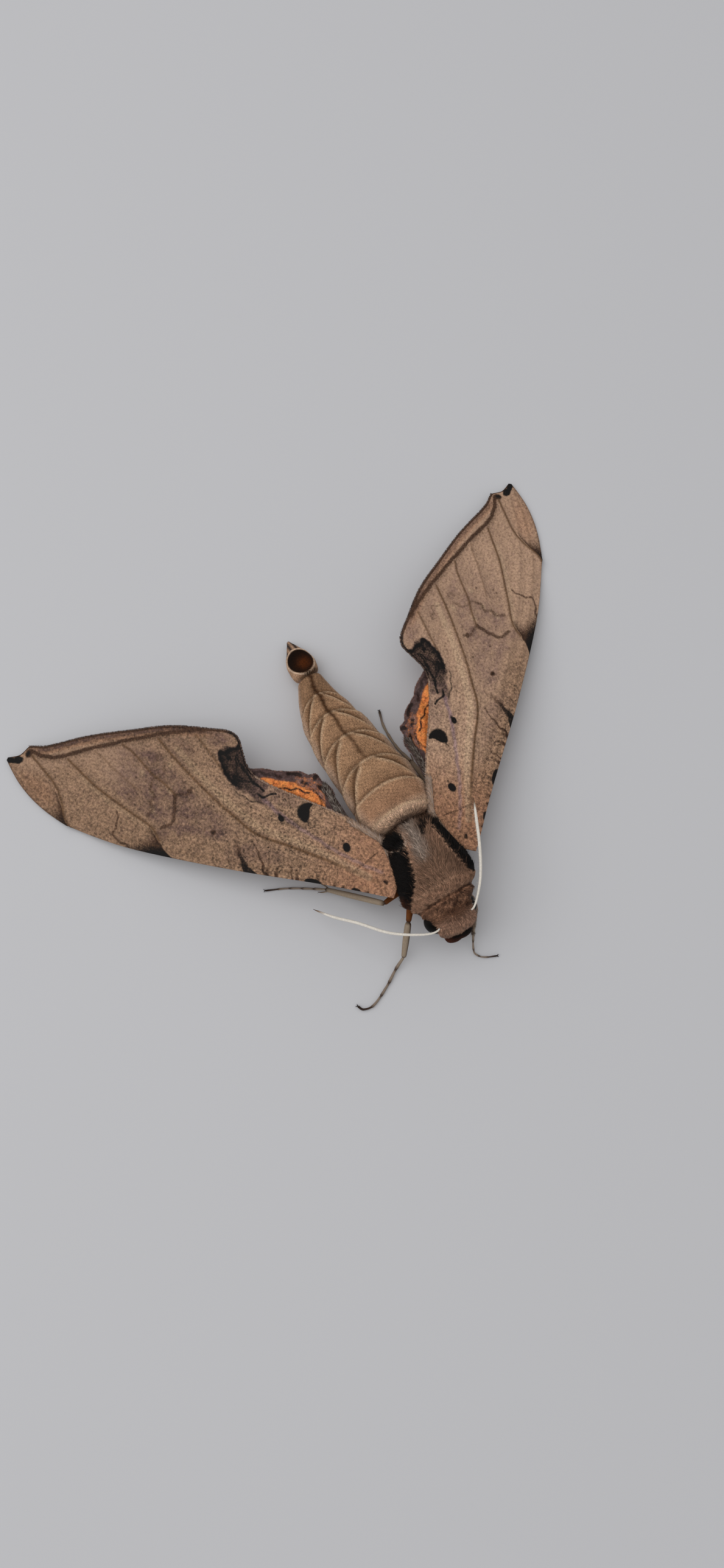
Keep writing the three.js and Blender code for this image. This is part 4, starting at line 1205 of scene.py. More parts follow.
def make_body_skin():
    """A ball drawn out to the body's shape, its poles at the face and the tail, coloured like the coat."""
    rings, rounds = ((352, 176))
    skin = new_ball(rounds, rings)
    around, share = round_and_along(coords_of(skin))
    pole = (share < 0.2 / rings) | (share > 1 - 0.2 / rings)
    crowded = share - END_CROWDING * np.sin(2 * math.pi * share)
    y = BODY_FRONT + (BODY_REAR - BODY_FRONT) * crowded
    face = BODY_FRONT + (y - BODY_FRONT) * smoothstep(-FACE_SHARE, FACE_SHARE, share)
    y = np.where(share < FACE_SHARE, face, y)
    points = body_point(y, around)
    axis_x, axis_z = body_centre(y)
    points[pole, 0], points[pole, 2] = axis_x[pole], axis_z[pole]
    points[:, 2] = np.maximum(points[:, 2], BODY_FLOOR)
    set_coords(skin, points)
    from_axis = points - np.stack([axis_x, y, axis_z], axis=1)
    if np.mean(np.sum(normals_of(skin) * from_axis, axis=1)) < 0:
        skin.data.flip_normals()
    paint(skin, "coat_colour", body_colour(points))
    skin.data.uv_layers.remove(skin.data.uv_layers[0])
    return skin


body_skin = make_body_skin()


# ---- coat: closed, tapered tufts that follow the lie ----
def sorted_triangles(piece):
    """A piece's faces cut into triangles, in an order that depends on their places only.

    A new ball's faces come in another order on each run, and the coat has to grow the same way each time."""
    co = coords_of(piece)
    rank = np.empty(len(co), int)
    rank[np.lexsort(co.T)] = np.arange(len(co))
    corners = read(piece.data.loops, "vertex_index", kind=np.int32)
    starts, sizes = (read(piece.data.polygons, name, kind=np.int32) for name in ("loop_start", "loop_total"))
    triangles = []
    for size in np.unique(sizes):
        faces = corners[starts[sizes == size][:, None] + np.arange(size)]
        first = rank[faces].argmin(axis=1)
        faces = np.take_along_axis(faces, (first[:, None] + np.arange(size)) % size, axis=1)
        triangles += [faces[:, (0, step, step + 1)] for step in range(1, size - 1)]
    triangles = np.concatenate(triangles)
    return triangles[np.lexsort(rank[triangles].T)]


def scatter(piece, count, seed, density=None):
    """Random places on a mesh, with their normals, crowded where density is high."""
    rng = np.random.default_rng(seed)
    triangles = sorted_triangles(piece)
    co, no = coords_of(piece), normals_of(piece)
    corners = co[triangles]
    area = np.linalg.norm(np.cross(corners[:, 1] - corners[:, 0], corners[:, 2] - corners[:, 0]), axis=1)
    weight = area * (density(corners.mean(axis=1)) if density else 1)
    chosen = rng.choice(len(triangles), count, p=weight / weight.sum())
    a, b = rng.random(count), rng.random(count)
    a, b = np.where(a + b > 1, 1 - a, a), np.where(a + b > 1, 1 - b, b)
    shares = np.stack([1 - a - b, a, b], axis=1)[:, :, None]

    def carried(values):
        """Values of the mesh's vertices, read at the chosen places."""
        return (values[triangles[chosen]] * shares).sum(axis=1)

    return carried(co), unit(carried(no)), rng, carried


def mesh_from_arrays(name, points, triangles):
    """A new object from places and from triangles of their numbers."""
    mesh = bpy.data.meshes.new(name)
    mesh.vertices.add(len(points))
    mesh.loops.add(triangles.size)
    mesh.polygons.add(len(triangles))
    mesh.vertices.foreach_set("co", points.astype(np.float32).ravel())
    mesh.loops.foreach_set("vertex_index", triangles.astype(np.int32).ravel())
    mesh.polygons.foreach_set("loop_start", np.arange(0, triangles.size, 3, dtype=np.int32))
    mesh.update(calc_edges=True)
    mesh.validate()
    piece = bpy.data.objects.new(name, mesh)
    bpy.context.scene.collection.objects.link(piece)
    return piece


TUFT_FACES = np.array([(0, 1, 4), (0, 4, 3), (1, 2, 5), (1, 5, 4), (2, 0, 3), (2, 3, 5),
                       (3, 4, 6), (4, 5, 6), (5, 3, 6), (0, 2, 1)])
TUFT_SHADE = np.array([0.72, 0.72, 0.78, 1.0, 1.0, 1.05, 1.06])  # painted shade: darker at the root than at the tip
TUFT_POINTS = len(TUFT_SHADE)
PATCH = 0.003  # size of a tuft's own patch of the map
FLOOR_GAP, TOP = 0.012, 9.86  # tufts stay between these heights
FRONT = (cad_low[1] - ORIGIN.y) / MM + 0.02  # and behind this


def grow_tufts(name, roots, normals, lie, length, width, lift, colours, atlas, rng,
               bend=0.7, tone=0.16, sunk=0.08):
    """A piece of many tufts: each a three-sided blade of two lengths that rises from its root and bends."""
    count = len(roots)
    lie = unit(lie - normals * np.sum(lie * normals, axis=1, keepdims=True))
    across = np.cross(normals, lie)
    yaw, sway = rng.normal(0, 0.2, (2, count, 1))
    lie = lie * np.cos(yaw) + across * np.sin(yaw)
    across = np.cross(normals, lie)
    length = (length * rng.uniform(0.7, 1.25, count))[:, None]
    width = (width * rng.uniform(0.75, 1.25, count))[:, None]
    lift = (lift * rng.uniform(0.5, 1.5, count))[:, None]
    first = lie * np.cos(lift) + normals * np.sin(lift)
    second = (lie + across * sway) * np.cos(lift * (1 - bend)) + normals * np.sin(lift * (1 - bend))
    base = roots - normals * sunk
    middle = base + first * length * 0.5
    tip = middle + second * length * 0.5
    points = np.stack([
        base + across * width * 0.4, base - across * width * 0.4, base + normals * width * 0.4,
        middle + across * width * 0.5, middle - across * width * 0.5, middle + normals * width * 0.4, tip,
    ], axis=1)
    points[:, :, 1] = np.maximum(points[:, :, 1], FRONT)
    points[:, :, 2] = np.clip(points[:, :, 2], FLOOR_GAP, TOP)
    faces = TUFT_FACES[None] + TUFT_POINTS * np.arange(count)[:, None, None]
    piece = mesh_from_arrays(name, points.reshape(-1, 3), faces.reshape(-1, 3))
    # random tone for each tuft, times the painted shade from root to tip
    shade = rng.normal(1, tone, count)[:, None] * TUFT_SHADE
    paint(piece, "tuft_tone_and_shade", np.clip(shade, 0.3, 1.7).ravel())
    paint(piece, "coat_colour", np.repeat(colours, TUFT_POINTS, axis=0))
    patch = np.array([(0, 0), (1, 0), (0.5, 0), (0, 0.5), (1, 0.5), (0.5, 0.5), (0.5, 1)]) - 0.5
    corners = (atlas * 0.98 + 0.01)[:, None, :] + patch * PATCH
    bake_map(piece, corners.reshape(-1, 2))
    return piece


def body_atlas(points):
    """The body's skin unwrapped: round it, and along it."""
    share = (points[:, 1] - BODY_FRONT) / (BODY_REAR - BODY_FRONT)
    return np.stack([round_body(points)[2] / (2 * math.pi) + 0.5, share], axis=1)


def eye_centre(side):
    return np.array([HEAD_X + side * EYE_SPREAD, EYE_Y, EYE_Z])


COAT = coat_material()
THICK = 1.0  # share of the body's tufts grown
THICK_EDGE = max(THICK, 0.3)  # and of the tufts on wings and limbs
EYE_CLEARANCE = 0.12


def body_coat(name, count, seed, density, lie_of, length_of, width, lift, tint=None, **shape):
    """Hair on the body, clear of the eyes, and cut short where it would fall across a black marking."""
    roots, normals, rng, _ = scatter(body_skin, int(count * THICK), seed, density)
    keep = np.ones(len(roots), bool)
    for _, side in SIDES:
        keep &= np.linalg.norm(roots - eye_centre(side), axis=1) > EYE_RADIUS + EYE_CLEARANCE
    roots, normals = roots[keep], normals[keep]
    colours = plain(tint, len(roots)) if tint else body_colour(roots)
    lie, length = unit(lie_of(roots)), length_of(roots)
    crossing = black_mask(roots + lie * length[:, None]) * (1 - black_mask(roots))
    piece = grow_tufts(name, roots, normals, lie, length * (1 - 0.7 * crossing), width, lift, colours,
                       body_atlas(roots), rng, **shape)
    settle(piece, "body_hair", (), COAT)


def on_head(points):
    return smoothstep(-4.6, -4.8, points[:, 1]) * (points[:, 2] > 2.6)


def on_thorax(points):
    ridge = 1 + 1.2 * bell(collar_line(points[:, 0], points[:, 1]) + 0.1, 0.6)
    return smoothstep(-4.9, -4.7, points[:, 1]) * smoothstep(7.8, 7.3, points[:, 1]) * ridge


def off_flaps(points):
    """The middle of the thorax, where the longest hair grows."""
    return on_thorax(points) * (1 - flap_mask(points, 1.0, 0)) * (points[:, 2] > 4)


def on_rear_tufts(points):
    x, y, z = points.T
    near = [bell(np.hypot(x - at_x, y - at_y + 0.35), reach * 0.6) for at_x, at_y, reach in REAR_TUFTS]
    return np.maximum(np.max(near, axis=0) - 0.15, 0) * (z > 6.5)


def on_abdomen(points):
    x, y, z = points.T
    return smoothstep(7.2, 7.4, y) * (0.35 + 0.65 * smoothstep(1.0, 2.5, z)) * (pit_distance(x, y) > 1.13)


def head_lie(points):
    x, y, _ = points.T
    ahead = smoothstep(-5.0, -5.5, y)
    beside = smoothstep(0.9, 1.8, np.abs(x - HEAD_X)) * smoothstep(-6.2, -5.6, y)
    sideways = 0.35 * (x - HEAD_X) * (1 - 0.5 * ahead) + 0.9 * np.sign(x - HEAD_X) * beside
    return np.stack([sideways, 0.25 - 1.2 * ahead, -0.25 * ahead], axis=1)


def thorax_lie(points):
    x, y, _ = points.T
    spread = 0.5 * np.tanh(x / 1.2) * smoothstep(-2.6, 0, y)
    forward = smoothstep(-0.3, -0.8, collar_line(x, y))
    swirl = 0.18 * np.sin(y * 1.9 + x * 1.3) + 0.4 * np.sin(5.1 * x + 2.2 * y) * np.sin(4.3 * y - 1.7 * x)
    return np.stack([spread + swirl + 0.4 * forward * x, 1 - 1.7 * forward, -0.15 * np.ones(len(x))], axis=1)


def tail_lie(points):
    return points * (0.05, 0, 0) + (0, 1, 0)


def head_length(points):
    return 0.55 + 0.15 * smoothstep(-5.7, -6.6, points[:, 1])


def thorax_length(points):
    y = points[:, 1]
    length = 0.95 + 0.5 * smoothstep(3, 6.5, y) - 0.4 * smoothstep(-1.5, -2.6, y)
    return length * (1 - 0.4 * flap_mask(points, 0.8, 0))


def long_length(points):
    return 1.6 - 1.0 * smoothstep(-0.6, -2.2, points[:, 1])


def rear_tuft_length(points):
    return np.full(len(points), 0.95)


def abdomen_length(points):
    return 0.25 + 0.38 * smoothstep(8.9, 7.9, points[:, 1])


body_coat("head_coat", 15000, 11, on_head, head_lie, head_length, 0.058, 0.42, tone=0.26)
for half, seed in (("fore", 12), ("hind", 22)):
    body_coat(f"thorax_coat_{half}", 19500, seed, on_thorax, thorax_lie, thorax_length, 0.056, 0.22,
              tone=0.24)
body_coat("thorax_coat_long", 7000, 32, off_flaps, thorax_lie, long_length, 0.05, 0.18, tone=0.24)
body_coat("thorax_tufts", 700, 15, on_rear_tufts, thorax_lie, rear_tuft_length, 0.07, 0.4,
          tint=srgb(30, 22, 18))
for half, seed in (("fore", 13), ("hind", 23)):
    body_coat(f"abdomen_coat_{half}", 19500, seed, on_abdomen, tail_lie, abdomen_length, 0.066, 0.16,
              tone=0.38, sunk=0.04)
settle(named(body_skin, "body_skin"), "body_hair",
       ["head", "thorax", "abdomen", "abdomen_tip", "tegula_left", "tegula_right"],
       skin_material("body skin", 1.35, 7000.0))


# ---- fringes and hair along the wings' edges ----
def edge_hair(name, wing, path, count, seed, length, width, lean, tints, slot,
              relief=None, drop=0.0, lift=0.12, inset=0.06):
    """Hair that stands out from a line on a wing; lean turns it along the line, tints are (colour, share)."""
    side_name, side = wing
    rng = np.random.default_rng(seed + side)
    count = int(count * THICK_EDGE)
    line = smooth_line(path)
    whole = run_along(line)[-1]
    at = (np.arange(count) + rng.random(count)) / count * whole
    places = walk(line, at)
    tangent = unit(walk(line, np.minimum(at + 0.2, whole)) - walk(line, np.maximum(at - 0.2, 0)))
    outward = np.stack([-tangent[:, 1], tangent[:, 0]], axis=1)
    places = places - outward * inset * rng.uniform(0.3, 1.7, count)[:, None]
    height = (relief(places) if relief else 0) - drop + np.zeros(count)
    roots = wing_surface(side_name, side, places, height)
    lie = wing_surface(side_name, side, places + 0.1 * (outward + lean * tangent), height) - roots
    normals = unit(wing_surface(side_name, side, places, height + 0.1) - roots)
    colours = np.array([tint[:3] for tint, _ in tints])
    weights = np.array([share for _, share in tints])
    picked = colours[rng.choice(len(tints), count, p=weights / weights.sum())]
    reach = [place[0] for place in path]
    atlas = np.stack([(places[:, 0] - min(reach)) / (max(reach) - min(reach) + 1e-6), at / whole], axis=1)
    coat = grow_tufts(f"{name}_{side_name}", roots, normals, lie, np.full(count, length), width, lift, picked,
                      np.clip(atlas, 0, 1), rng, tone=0.2, bend=0.9, sunk=0.0)
    settle(coat, slot, (), COAT)


def between_outs(edge, first, last):
    """The part of a wing's edge that lies between two distances out along the wing."""
    return [place for place in edge if first < place[0] < last]


FRINGE_DARK = srgb(56, 43, 38)
FRINGE_LIGHT = srgb(112, 90, 78)
ROOT_HAIR = srgb(172, 152, 138)
ANAL_GREY = srgb(150, 140, 131)
ANAL_BROWN = srgb(96, 84, 76)
OUTER_EDGE = between_outs(FOREWING_REAR, 22, 52.4)
INNER_EDGE = between_outs(FOREWING_REAR, 4, 23)
WING_ROOT = [(2.6, 2.5), (3.5, 3.5), (5, 4.8), (7, 5.3), (9, 5.7)]
HIND_EDGE = between_outs(HINDWING_REAR, 12, 27)
ANAL_EDGE = [(8.2, 5.3), (10, 6.1), (11.4, 7.1), (12.6, 8.1), (13.6, 8.9)]
for wing in SIDES:
    edge_hair("forewing_fringe", wing, OUTER_EDGE, 1900, 51, 0.27, 0.1, 0.35,
              [(FRINGE_DARK, 3), (FRINGE_LIGHT, 2)], "forewing_scales", forewing_height)
    edge_hair("forewing_edge_hair", wing, INNER_EDGE, 1100, 54, 0.38, 0.07, 0.9,
              [(PALE_HAIR, 2), (TAN, 2), (HAZE, 1)], "forewing_scales", forewing_height)
    edge_hair("forewing_root_hair", wing, WING_ROOT, 1500, 57, 0.95, 0.05, 1.8,
              [(ROOT_HAIR, 2), (PALE_HAIR, 2), (TAN, 2)], "forewing_scales", drop=-0.05, lift=0.1, inset=0.2)
    edge_hair("hindwing_fringe", wing, HIND_EDGE, 900, 61, 0.22, 0.08, 0.3,
              [(MARGIN_PURPLE, 2), (PINK_BROWN, 2), (FRINGE_DARK, 1)], "hindwing_scales", hindwing_relief,
              HINDWING_DROP)
    edge_hair("hindwing_hair", wing, ANAL_EDGE, 1900, 64, 1.0, 0.05, 2.6,
              [(FRINGE_DARK, 3), (ANAL_GREY, 2), (ANAL_BROWN, 3)], "hindwing_scales", hindwing_relief,
              HINDWING_DROP - 0.12, lift=0.16, inset=0.4)

# ---- eyes ----
EYE_SHAPE = np.array([1.0, 1.05, 1.1])
EYE_INSET = 0.03  # how far the eye shown lies inside the solid's radius
EYE_GLOSS = eye_material()
for side_name, side in SIDES:
    eye = named(new_ball(48, 32), f"eye_{side_name}_ball")
    set_coords(eye, coords_of(eye) * EYE_SHAPE * (EYE_RADIUS - EYE_INSET) + eye_centre(side))
    settle(eye, "eye", ["eye_" + side_name], EYE_GLOSS)


# ---- limbs: palps, feelers and legs ----
def limb_path(points, count):
    """Places and directions at equal steps along a smooth line, with a frame that doesn't twist."""
    line = smooth_line(points, 10)
    length = run_along(line)[-1]
    centres = walk(line, np.linspace(0, length, count))
    along_it = unit(np.gradient(centres, axis=0))
    sideways = np.empty_like(centres)
    start = np.cross(along_it[0], (0, 0, 1))
    sideways[0] = unit(start if np.linalg.norm(start) > 0.1 else np.cross(along_it[0], (1, 0, 0)))
    for i in range(1, count):
        carried_over = sideways[i - 1] - along_it[i] * (sideways[i - 1] @ along_it[i])
        sideways[i] = carried_over / np.linalg.norm(carried_over)
    return centres, along_it, sideways, length


def make_limb(points, radii, steps, rounds=12, ripple=None, flat=1.0):
    """A closed limb of changing radius with round ends; ripple(run, length) swells it on the way."""
    limb = new_ball(rounds, steps)
    around, share = round_and_along(coords_of(limb))
    row = np.rint(share * steps).astype(int)
    centres, along_it, sideways, length = limb_path(points, steps + 1)
    share = row / steps
    radius = along(radii, share)
    if ripple:
        radius = radius * ripple(share * length, length)
    cap = radius / length
    for toward in (share, 1 - share):
        radius = radius * round_cap(toward / cap)
    lift = np.cross(along_it, sideways)
    offset = sideways[row] * np.cos(around)[:, None] + lift[row] * np.sin(around)[:, None] * flat
    set_coords(limb, centres[row] + offset * radius[:, None])
    limb.data.uv_layers.remove(limb.data.uv_layers[0])
    bpy.ops.object.mode_set(mode="EDIT")
    bpy.ops.mesh.select_all(action="SELECT")
    bpy.ops.mesh.normals_make_consistent(inside=False)
    bpy.ops.object.mode_set(mode="OBJECT")
    paint(limb, "limb_lie", along_it[row])
    paint(limb, "limb_atlas", np.column_stack([around / (2 * math.pi) + 0.5, share, np.zeros(len(row))]))
    paint(limb, "limb_share", share)
    return limb


def values_of(piece, name):
    """One colour attribute of a piece as an array."""
    return read(piece.data.attributes[name].data, "color", 4)[:, :3].astype(float)


def shade_one_side(limb, towards, tint):
    """Paints shade on the side of a limb that faces a given way."""
    facing = smoothstep(0.15, 0.45, normals_of(limb) @ np.array(towards, float))
    paint(limb, "coat_colour", layered(values_of(limb, "coat_colour"), (tint, 0.85 * facing)))


def limb_coat(limb, name, count, seed, length, width, lift, slot, **shape):
    """Scales or hair along a limb, in the limb's own colours; length may depend on the place."""
    roots, normals, rng, carried = scatter(limb, int(count * THICK_EDGE), seed)
    colours, lie, atlas = (carried(values_of(limb, key)) for key in ("coat_colour", "limb_lie", "limb_atlas"))
    lengths = length(roots) if callable(length) else np.full(len(roots), length)
    coat = grow_tufts(name, roots, normals, lie, lengths, width, lift, colours, atlas[:, :2], rng, **shape)
    settle(coat, slot, (), COAT)


def shade_along(limb, stops):
    """Colours a limb along its length, from (share, colour) stops."""
    share = read(limb.data.attributes["limb_share"].data, "value")
    at, colours = zip(*stops)
    channels = list(zip(*colours))[:3]
    paint(limb, "coat_colour", np.column_stack([np.interp(share, at, channel) for channel in channels]))


LIMB_SKIN = skin_material("limb skin", 0.35, 6000.0)

# Palps: two upturned, black-scaled feelers of the mouth, their lower rims red-brown.
PALP = ((0.45, -4.8, 2.4), (0.55, -6.1, 2.6), (0.6, -6.95, 3.5), (0.6, -7.05, 4.9))
for side_name, side in SIDES:
    line = [(HEAD_X - 0.15 + side * reach, y, z) for reach, y, z in PALP]
    palp = make_limb(line, [(0, 0.5), (0.45, 1.12), (0.8, 1.18), (1, 0.9)], rounds=28, steps=36, flat=0.6)
    x, _, z = coords_of(palp).T
    rusty = 0.85 * smoothstep(4.5, 3.5, z + 0.25 * x)
    paint(palp, "coat_colour", layered(plain(NEAR_BLACK, len(x)), (REDDISH_BROWN, rusty)))
    limb_coat(palp, f"palp_coat_{side_name}", 3600, 31 + side, 0.3, 0.05, 0.3, "dark_hair", tone=0.4)
    settle(named(palp, f"palp_{side_name}_skin"), "dark_hair", ["palp_" + side_name], LIMB_SKIN)

# Feelers: cream, finely ringed, with a comb of short bristles beneath and a thin dark hook at the tip.
FEELER = {
    "left": [(0.6, -5.0, 5.8), (1.6, -5.5, 6.5), (2.55, -4.84, 7), (4.25, -2.8, 7.6), (5.9, 0.18, 8.2),
             (7.5, 3.78, 8.5), (8.4, 5.8, 8.5)],
    "right": [(-2.0, -4.9, 5.7), (-3.3, -5.7, 6.3), (-5.05, -5.2, 6.4), (-8.2, -3.05, 5.6),
              (-10.9, 0.05, 4.5), (-13, 2.4, 2.8), (-14.6, 4.55, 1.8)],
}
FEELER_RADII = [(0, 0.1), (0.08, 0.11), (0.35, 0.165), (0.8, 0.18), (0.93, 0.12), (1, 0.03)]
CREAM = srgb(222, 215, 204)
CREAM_SHADE = srgb(168, 150, 128)
HOOK_BROWN = srgb(120, 96, 76)
HORN = srgb(40, 28, 22)
COMB_TEETH = 96
COMB_FROM, COMB_TO = 0.12, 0.9  # the share of the feeler that the comb covers
TOOTH_LENGTH, TOOTH_WIDTH, TOOTH_LIFT, TOOTH_OFFSET = 0.34, 0.1, 1.35, 0.12
RING_PITCH = 0.3
COMB_DROOP = {"left": 0.35, "right": 1.3}  # how far each comb turns down from level


def feeler_rings(run, length):
    return 1 + 0.035 * np.sin(run * 2 * math.pi / RING_PITCH)


for side_name, side in SIDES:
    feeler = make_limb(FEELER[side_name], FEELER_RADII, steps=320, ripple=feeler_rings)
    shade_along(feeler, [(0, CREAM_SHADE), (0.06, CREAM), (0.9, CREAM), (0.96, HOOK_BROWN), (1, HORN)])
    shares = np.linspace(0, 1, COMB_TEETH)
    teeth = (shares > COMB_FROM) & (shares < COMB_TO)
    count = teeth.sum()
    centres, run_of, _, _ = limb_path(FEELER[side_name], COMB_TEETH)
    inward = unit(np.cross((0, 0, 1), run_of) * side - np.array([0, 0, COMB_DROOP[side_name]]))[teeth]
    roots = centres[teeth] + TOOTH_OFFSET * inward
    comb = grow_tufts(f"antenna_comb_{side_name}", roots, inward, run_of[teeth],
                      np.full(count, TOOTH_LENGTH), TOOTH_WIDTH, TOOTH_LIFT, plain(CREAM, count),
                      np.column_stack([np.full(count, 0.5), shares[teeth]]), np.random.default_rng(41 + side),
                      bend=0.1, tone=0.06, sunk=0)
    settle(comb, "antenna", (), COAT)
    settle(named(feeler, f"antenna_{side_name}_skin"), "antenna", ["antenna_" + side_name], LIMB_SKIN)

# Legs as hip, knee, the tibia's end, points along the tarsus, and radii of femur, tibia and tarsus.
LEGS = {
    "leg_front_left": ((1.6, -1.4, 2.2), (2.85, -4.3, 2.8), (1, -7.6, 1.5),
                       [(0.05, -9.6, 0.3), (0.4, -10.4, 0.15), (1.1, -10.9, 0.15), (2.3, -11.4, 0.15)],
                       (0.38, 0.24, 0.12)),
    "leg_front_right": ((-3.1, 0.2, 2.6), (-5.5, -2.85, 3.9), (-7.8, -5.9, 0.9),
                        [(-9.4, -6.7, 0.4), (-11.3, -7.9, 0.15), (-13.9, -9.1, 0.15), (-15.2, -8.9, 0.15),
                         (-15.6, -8.2, 0.15)], (0.5, 0.4, 0.17)),
    "leg_mid_left": ((3, 1.6, 2.4), (6.6, 2.1, 4), (10.6, 7.6, 0.9),
                     [(12.4, 9.8, 0.35), (14, 11.8, 0.15), (15.6, 13.8, 0.15)], (0.5, 0.34, 0.17)),
    "leg_mid_right": ((-3, 1.4, 2.4), (-6.95, 0.5, 4.5), (-12, 6, 1.3),
                      [(-14.6, 7.8, 0.5), (-16.3, 8.8, 0.15), (-18.6, 9.8, 0.15)], (0.45, 0.36, 0.14)),
    "leg_hind_left": ((2.6, 4.6, 1.8), (6, 8.6, 3), (5.5, 15.2, 0.9),
                      [(5, 17.6, 0.4), (4.9, 19.6, 0.15), (5, 21.4, 0.15), (5.5, 23.2, 0.15)],
                      (0.5, 0.36, 0.19)),
    "leg_hind_right": ((-2.6, 4.6, 1.8), (-6.4, 7.2, 3), (-7.6, 11.2, 1),
                       [(-7.6, 12.8, 0.4), (-7.4, 14.4, 0.15), (-7, 16, 0.15), (-7.1, 17.2, 0.15)],
                       (0.5, 0.34, 0.15)),
}
SPUR_PLACES = {"front": (), "mid": (0.97,), "hind": (0.55, 0.97)}  # shares of the way down the tibia
SPUR_LENGTH, SPUR_SPREAD, SPUR_DROP = 1.25, 0.35, 0.1
LEG_FRONT = -11.55  # no leg reaches further forward than this
TARSUS_REST = 0.2  # lowest middle line of a tarsus
SPUR_REST = 0.12  # and of a spur
TARSUS_JOINTS = 5
FEMUR_ORANGE = srgb(112, 66, 34)
KNEE_BROWN = srgb(70, 44, 28)
TIBIA_TAN = srgb(148, 132, 114)
TIBIA_HEAD = srgb(60, 42, 32)
TARSUS_DARK = srgb(66, 51, 43)
TARSUS_TAN = srgb(132, 117, 104)
TARSUS_END = srgb(40, 30, 25)
CLAW_BLACK = srgb(24, 16, 12)
HAIRY_BROWN = srgb(148, 123, 107)


def tarsus_swell(run, length):
    """Tarsus joints, each widest at its far end."""
    place = run / length * TARSUS_JOINTS
    return 0.84 + 0.24 * smoothstep(0.1, 0.95, place % 1)


def front_leg_hair(roots):
    """The left front leg's hair: long on top of the thigh and shin."""
    hairy_part = smoothstep(-8.2, -7.6, roots[:, 1]) * smoothstep(-4.4, -5.6, roots[:, 1])
    return 0.14 + 0.4 * hairy_part * smoothstep(0.9, 1.4, roots[:, 2])


def between(a, b, share):
    return np.array(a) + (np.array(b) - np.array(a)) * share


def make_spurs(knee, ankle, shin_radius, shares):
    """Pairs of spurs on a shin."""
    spurs = []
    down_leg = unit(np.array(ankle, float) - np.array(knee))
    outward = unit(np.cross(down_leg, (0, 0, 1)))
    for share in shares:
        for hand in (-1, 1):
            root = between(knee, ankle, share) + outward * hand * shin_radius * 0.6
            end = root + down_leg * SPUR_LENGTH + outward * hand * SPUR_SPREAD - np.array([0, 0, SPUR_DROP])
            end[2] = max(end[2], SPUR_REST)
            spur = make_limb([root, between(root, end, 0.5) + outward * hand * 0.06, end],
                             [(0, 0.1), (0.6, 0.08), (1, 0.02)], rounds=8, steps=12)
            shade_along(spur, [(0, TIBIA_TAN), (1, TARSUS_DARK)])
            spurs.append(spur)
    return spurs


def make_claws(last, end):
    """A pair of claws past the tarsus, whose last two places are given."""
    claws = []
    toe_way = unit(np.array(end, float) - np.array(last))
    toe_side = unit(np.cross(toe_way, (0, 0, 1)))
    root = np.array(end) - toe_way * 0.05
    for hand in (-1, 1):
        claw = make_limb([root, root + toe_way * 0.14 + toe_side * hand * 0.1 + np.array([0, 0, 0.05]),
                          root + toe_way * 0.24 + toe_side * hand * 0.15 - np.array([0, 0, 0.14])],
                         [(0, 0.06), (0.5, 0.045), (1, 0.012)], rounds=8, steps=12)
        shade_along(claw, [(0, HORN), (1, CLAW_BLACK)])
        claws.append(claw)
    return claws


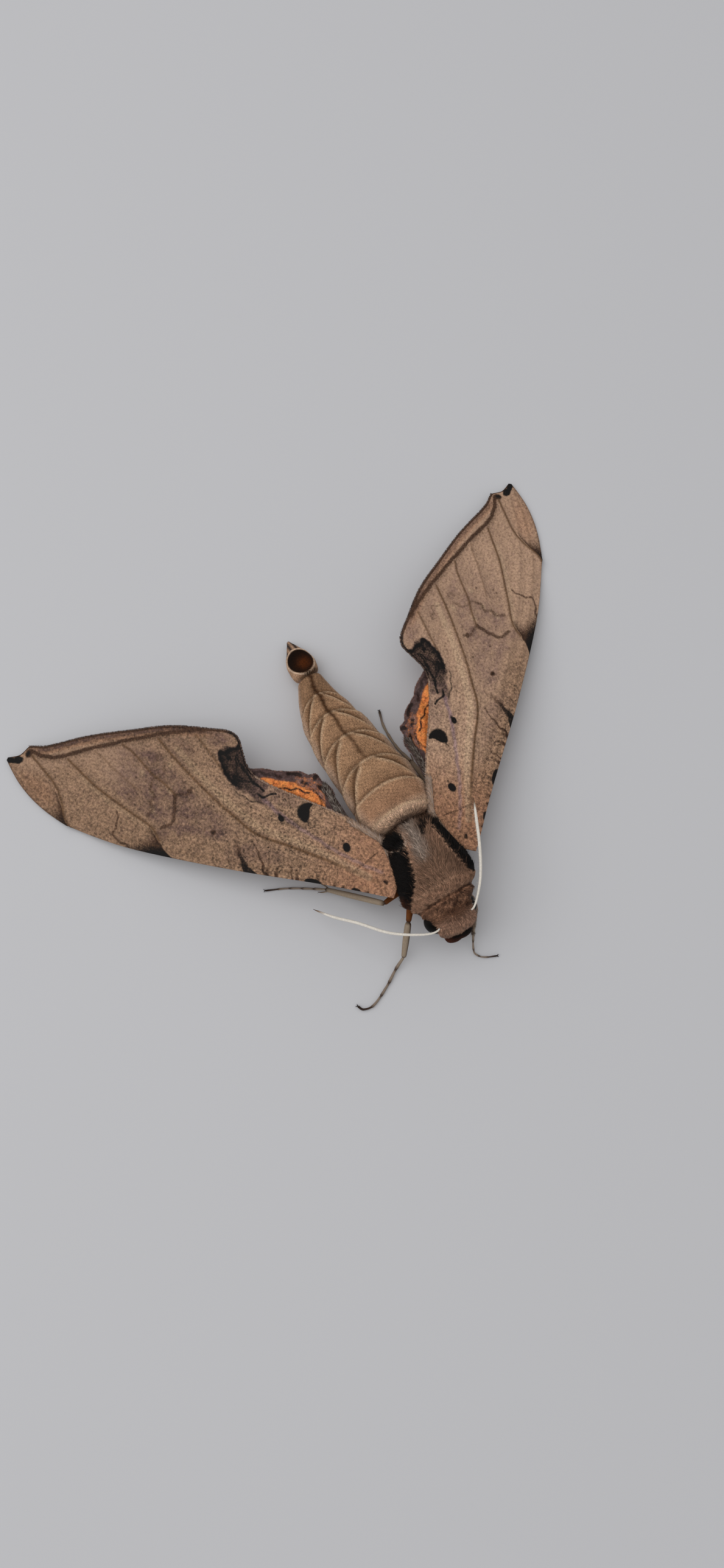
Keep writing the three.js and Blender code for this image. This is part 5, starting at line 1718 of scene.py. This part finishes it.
def make_leg(name, hip, knee, ankle, tarsus, radii, seed):
    """One leg with its spurs, claws and coat; the left front leg's thigh lies along its shin and is hairy."""
    _, pair, side_name = name.split("_")
    thick, lean, fine = radii
    hairy = name == "leg_front_left"
    femur_tint, knee_tint = (HAIRY_BROWN, TARSUS_DARK) if hairy else (FEMUR_ORANGE, KNEE_BROWN)
    middle, thigh_end = (knee, between(knee, ankle, 0.8)) if hairy else (between(hip, knee, 0.5), knee)
    thigh = make_limb([hip, middle, thigh_end],
                      [(0, thick * 0.8), (0.4, thick), (0.85, thick * 0.7), (1, thick * 0.65)],
                      rounds=16, steps=30)
    shade_along(thigh, [(0, femur_tint), (0.9, femur_tint), (1, knee_tint)])
    shin = make_limb([between(knee, ankle, share) for share in (-0.02, 0.5, 1.02)],
                     [(0, lean * 0.8), (0.12, lean), (0.6, lean), (0.92, lean * 0.8), (1, lean * 0.8)],
                     rounds=16, steps=36)
    shade_along(shin, [(0, TIBIA_HEAD), (0.07, TIBIA_TAN), (0.93, TIBIA_TAN), (0.97, TARSUS_DARK),
                       (1, TARSUS_DARK)])
    # painted shade along one side of each front shin
    if pair == "front":
        shade_one_side(shin, (-1 if side_name == "left" else 1, 0, 0), TARSUS_DARK)
    foot = [ankle] + [(x, y, max(z, TARSUS_REST)) for x, y, z in tarsus]
    toes = make_limb(foot, [(0, fine * 1.2), (0.4, fine), (1, fine * 0.75)],
                     rounds=10, steps=90, ripple=tarsus_swell)
    toe_tan, joint_dark = (TIBIA_TAN, TARSUS_TAN) if pair == "hind" else (TARSUS_TAN, TARSUS_DARK)
    joints = [(0, TIBIA_TAN)]
    for joint in (0.2, 0.4, 0.6, 0.8):
        joints += [(joint - 0.05, toe_tan), (joint, joint_dark), (joint + 0.04, toe_tan)]
    shade_along(toes, joints[:-1] + [(0.84, joint_dark), (1, TARSUS_END)])
    spurs = make_spurs(knee, ankle, lean, SPUR_PLACES[pair])
    select_only(thigh, shin, toes, *spurs, *make_claws(*foot[-2:]))
    bpy.ops.object.join()
    set_coords(thigh, np.maximum(coords_of(thigh), (-np.inf, LEG_FRONT, FLOOR_GAP)))
    coat = (2600, seed, front_leg_hair, 0.045, 0.5) if hairy else (1500, seed, 0.18, 0.045, 0.2)
    limb_coat(thigh, name.replace("leg", "leg_coat", 1), *coat, "leg")
    settle(named(thigh, name + "_skin"), "leg", [name], LIMB_SKIN)


for number, (leg_name, leg) in enumerate(LEGS.items()):
    make_leg(leg_name, *leg, 50 + number)

# ---- stage ----
STAGE_SIZE = 6
STAGE_DROP = 0.00004  # metres that the floor lies below the model
WINDOW_PLACE = (-0.25, 0.2, 0.55)

select_only()
bpy.ops.mesh.primitive_plane_add(size=STAGE_SIZE, location=(0, 0, -STAGE_DROP))
floor = named(bpy.context.object, "floor")
floor_paint, _, floor_sockets = new_material("floor", 0.6, 0.5)
floor_sockets["Base Color"].default_value = srgb(196, 196, 199)
floor.data.materials.append(floor_paint)

world = bpy.data.worlds.new("studio")
bpy.context.scene.world = world
world.use_nodes = True
sky = world.node_tree.nodes["Background"]
sky.inputs["Color"].default_value = (1, 1, 1, 1)
sky.inputs["Strength"].default_value = 0.55
light_data = bpy.data.lights.new("window", "AREA")
light_data.shape = "SQUARE"
light_data.size = 0.8
light_data.energy = 2.2
light = bpy.data.objects.new("window", light_data)
light.location = WINDOW_PLACE
light.rotation_euler = Vector(light.location).to_track_quat("Z", "Y").to_euler()
bpy.context.scene.collection.objects.link(light)
bpy.context.scene.view_settings.view_transform = "Standard"
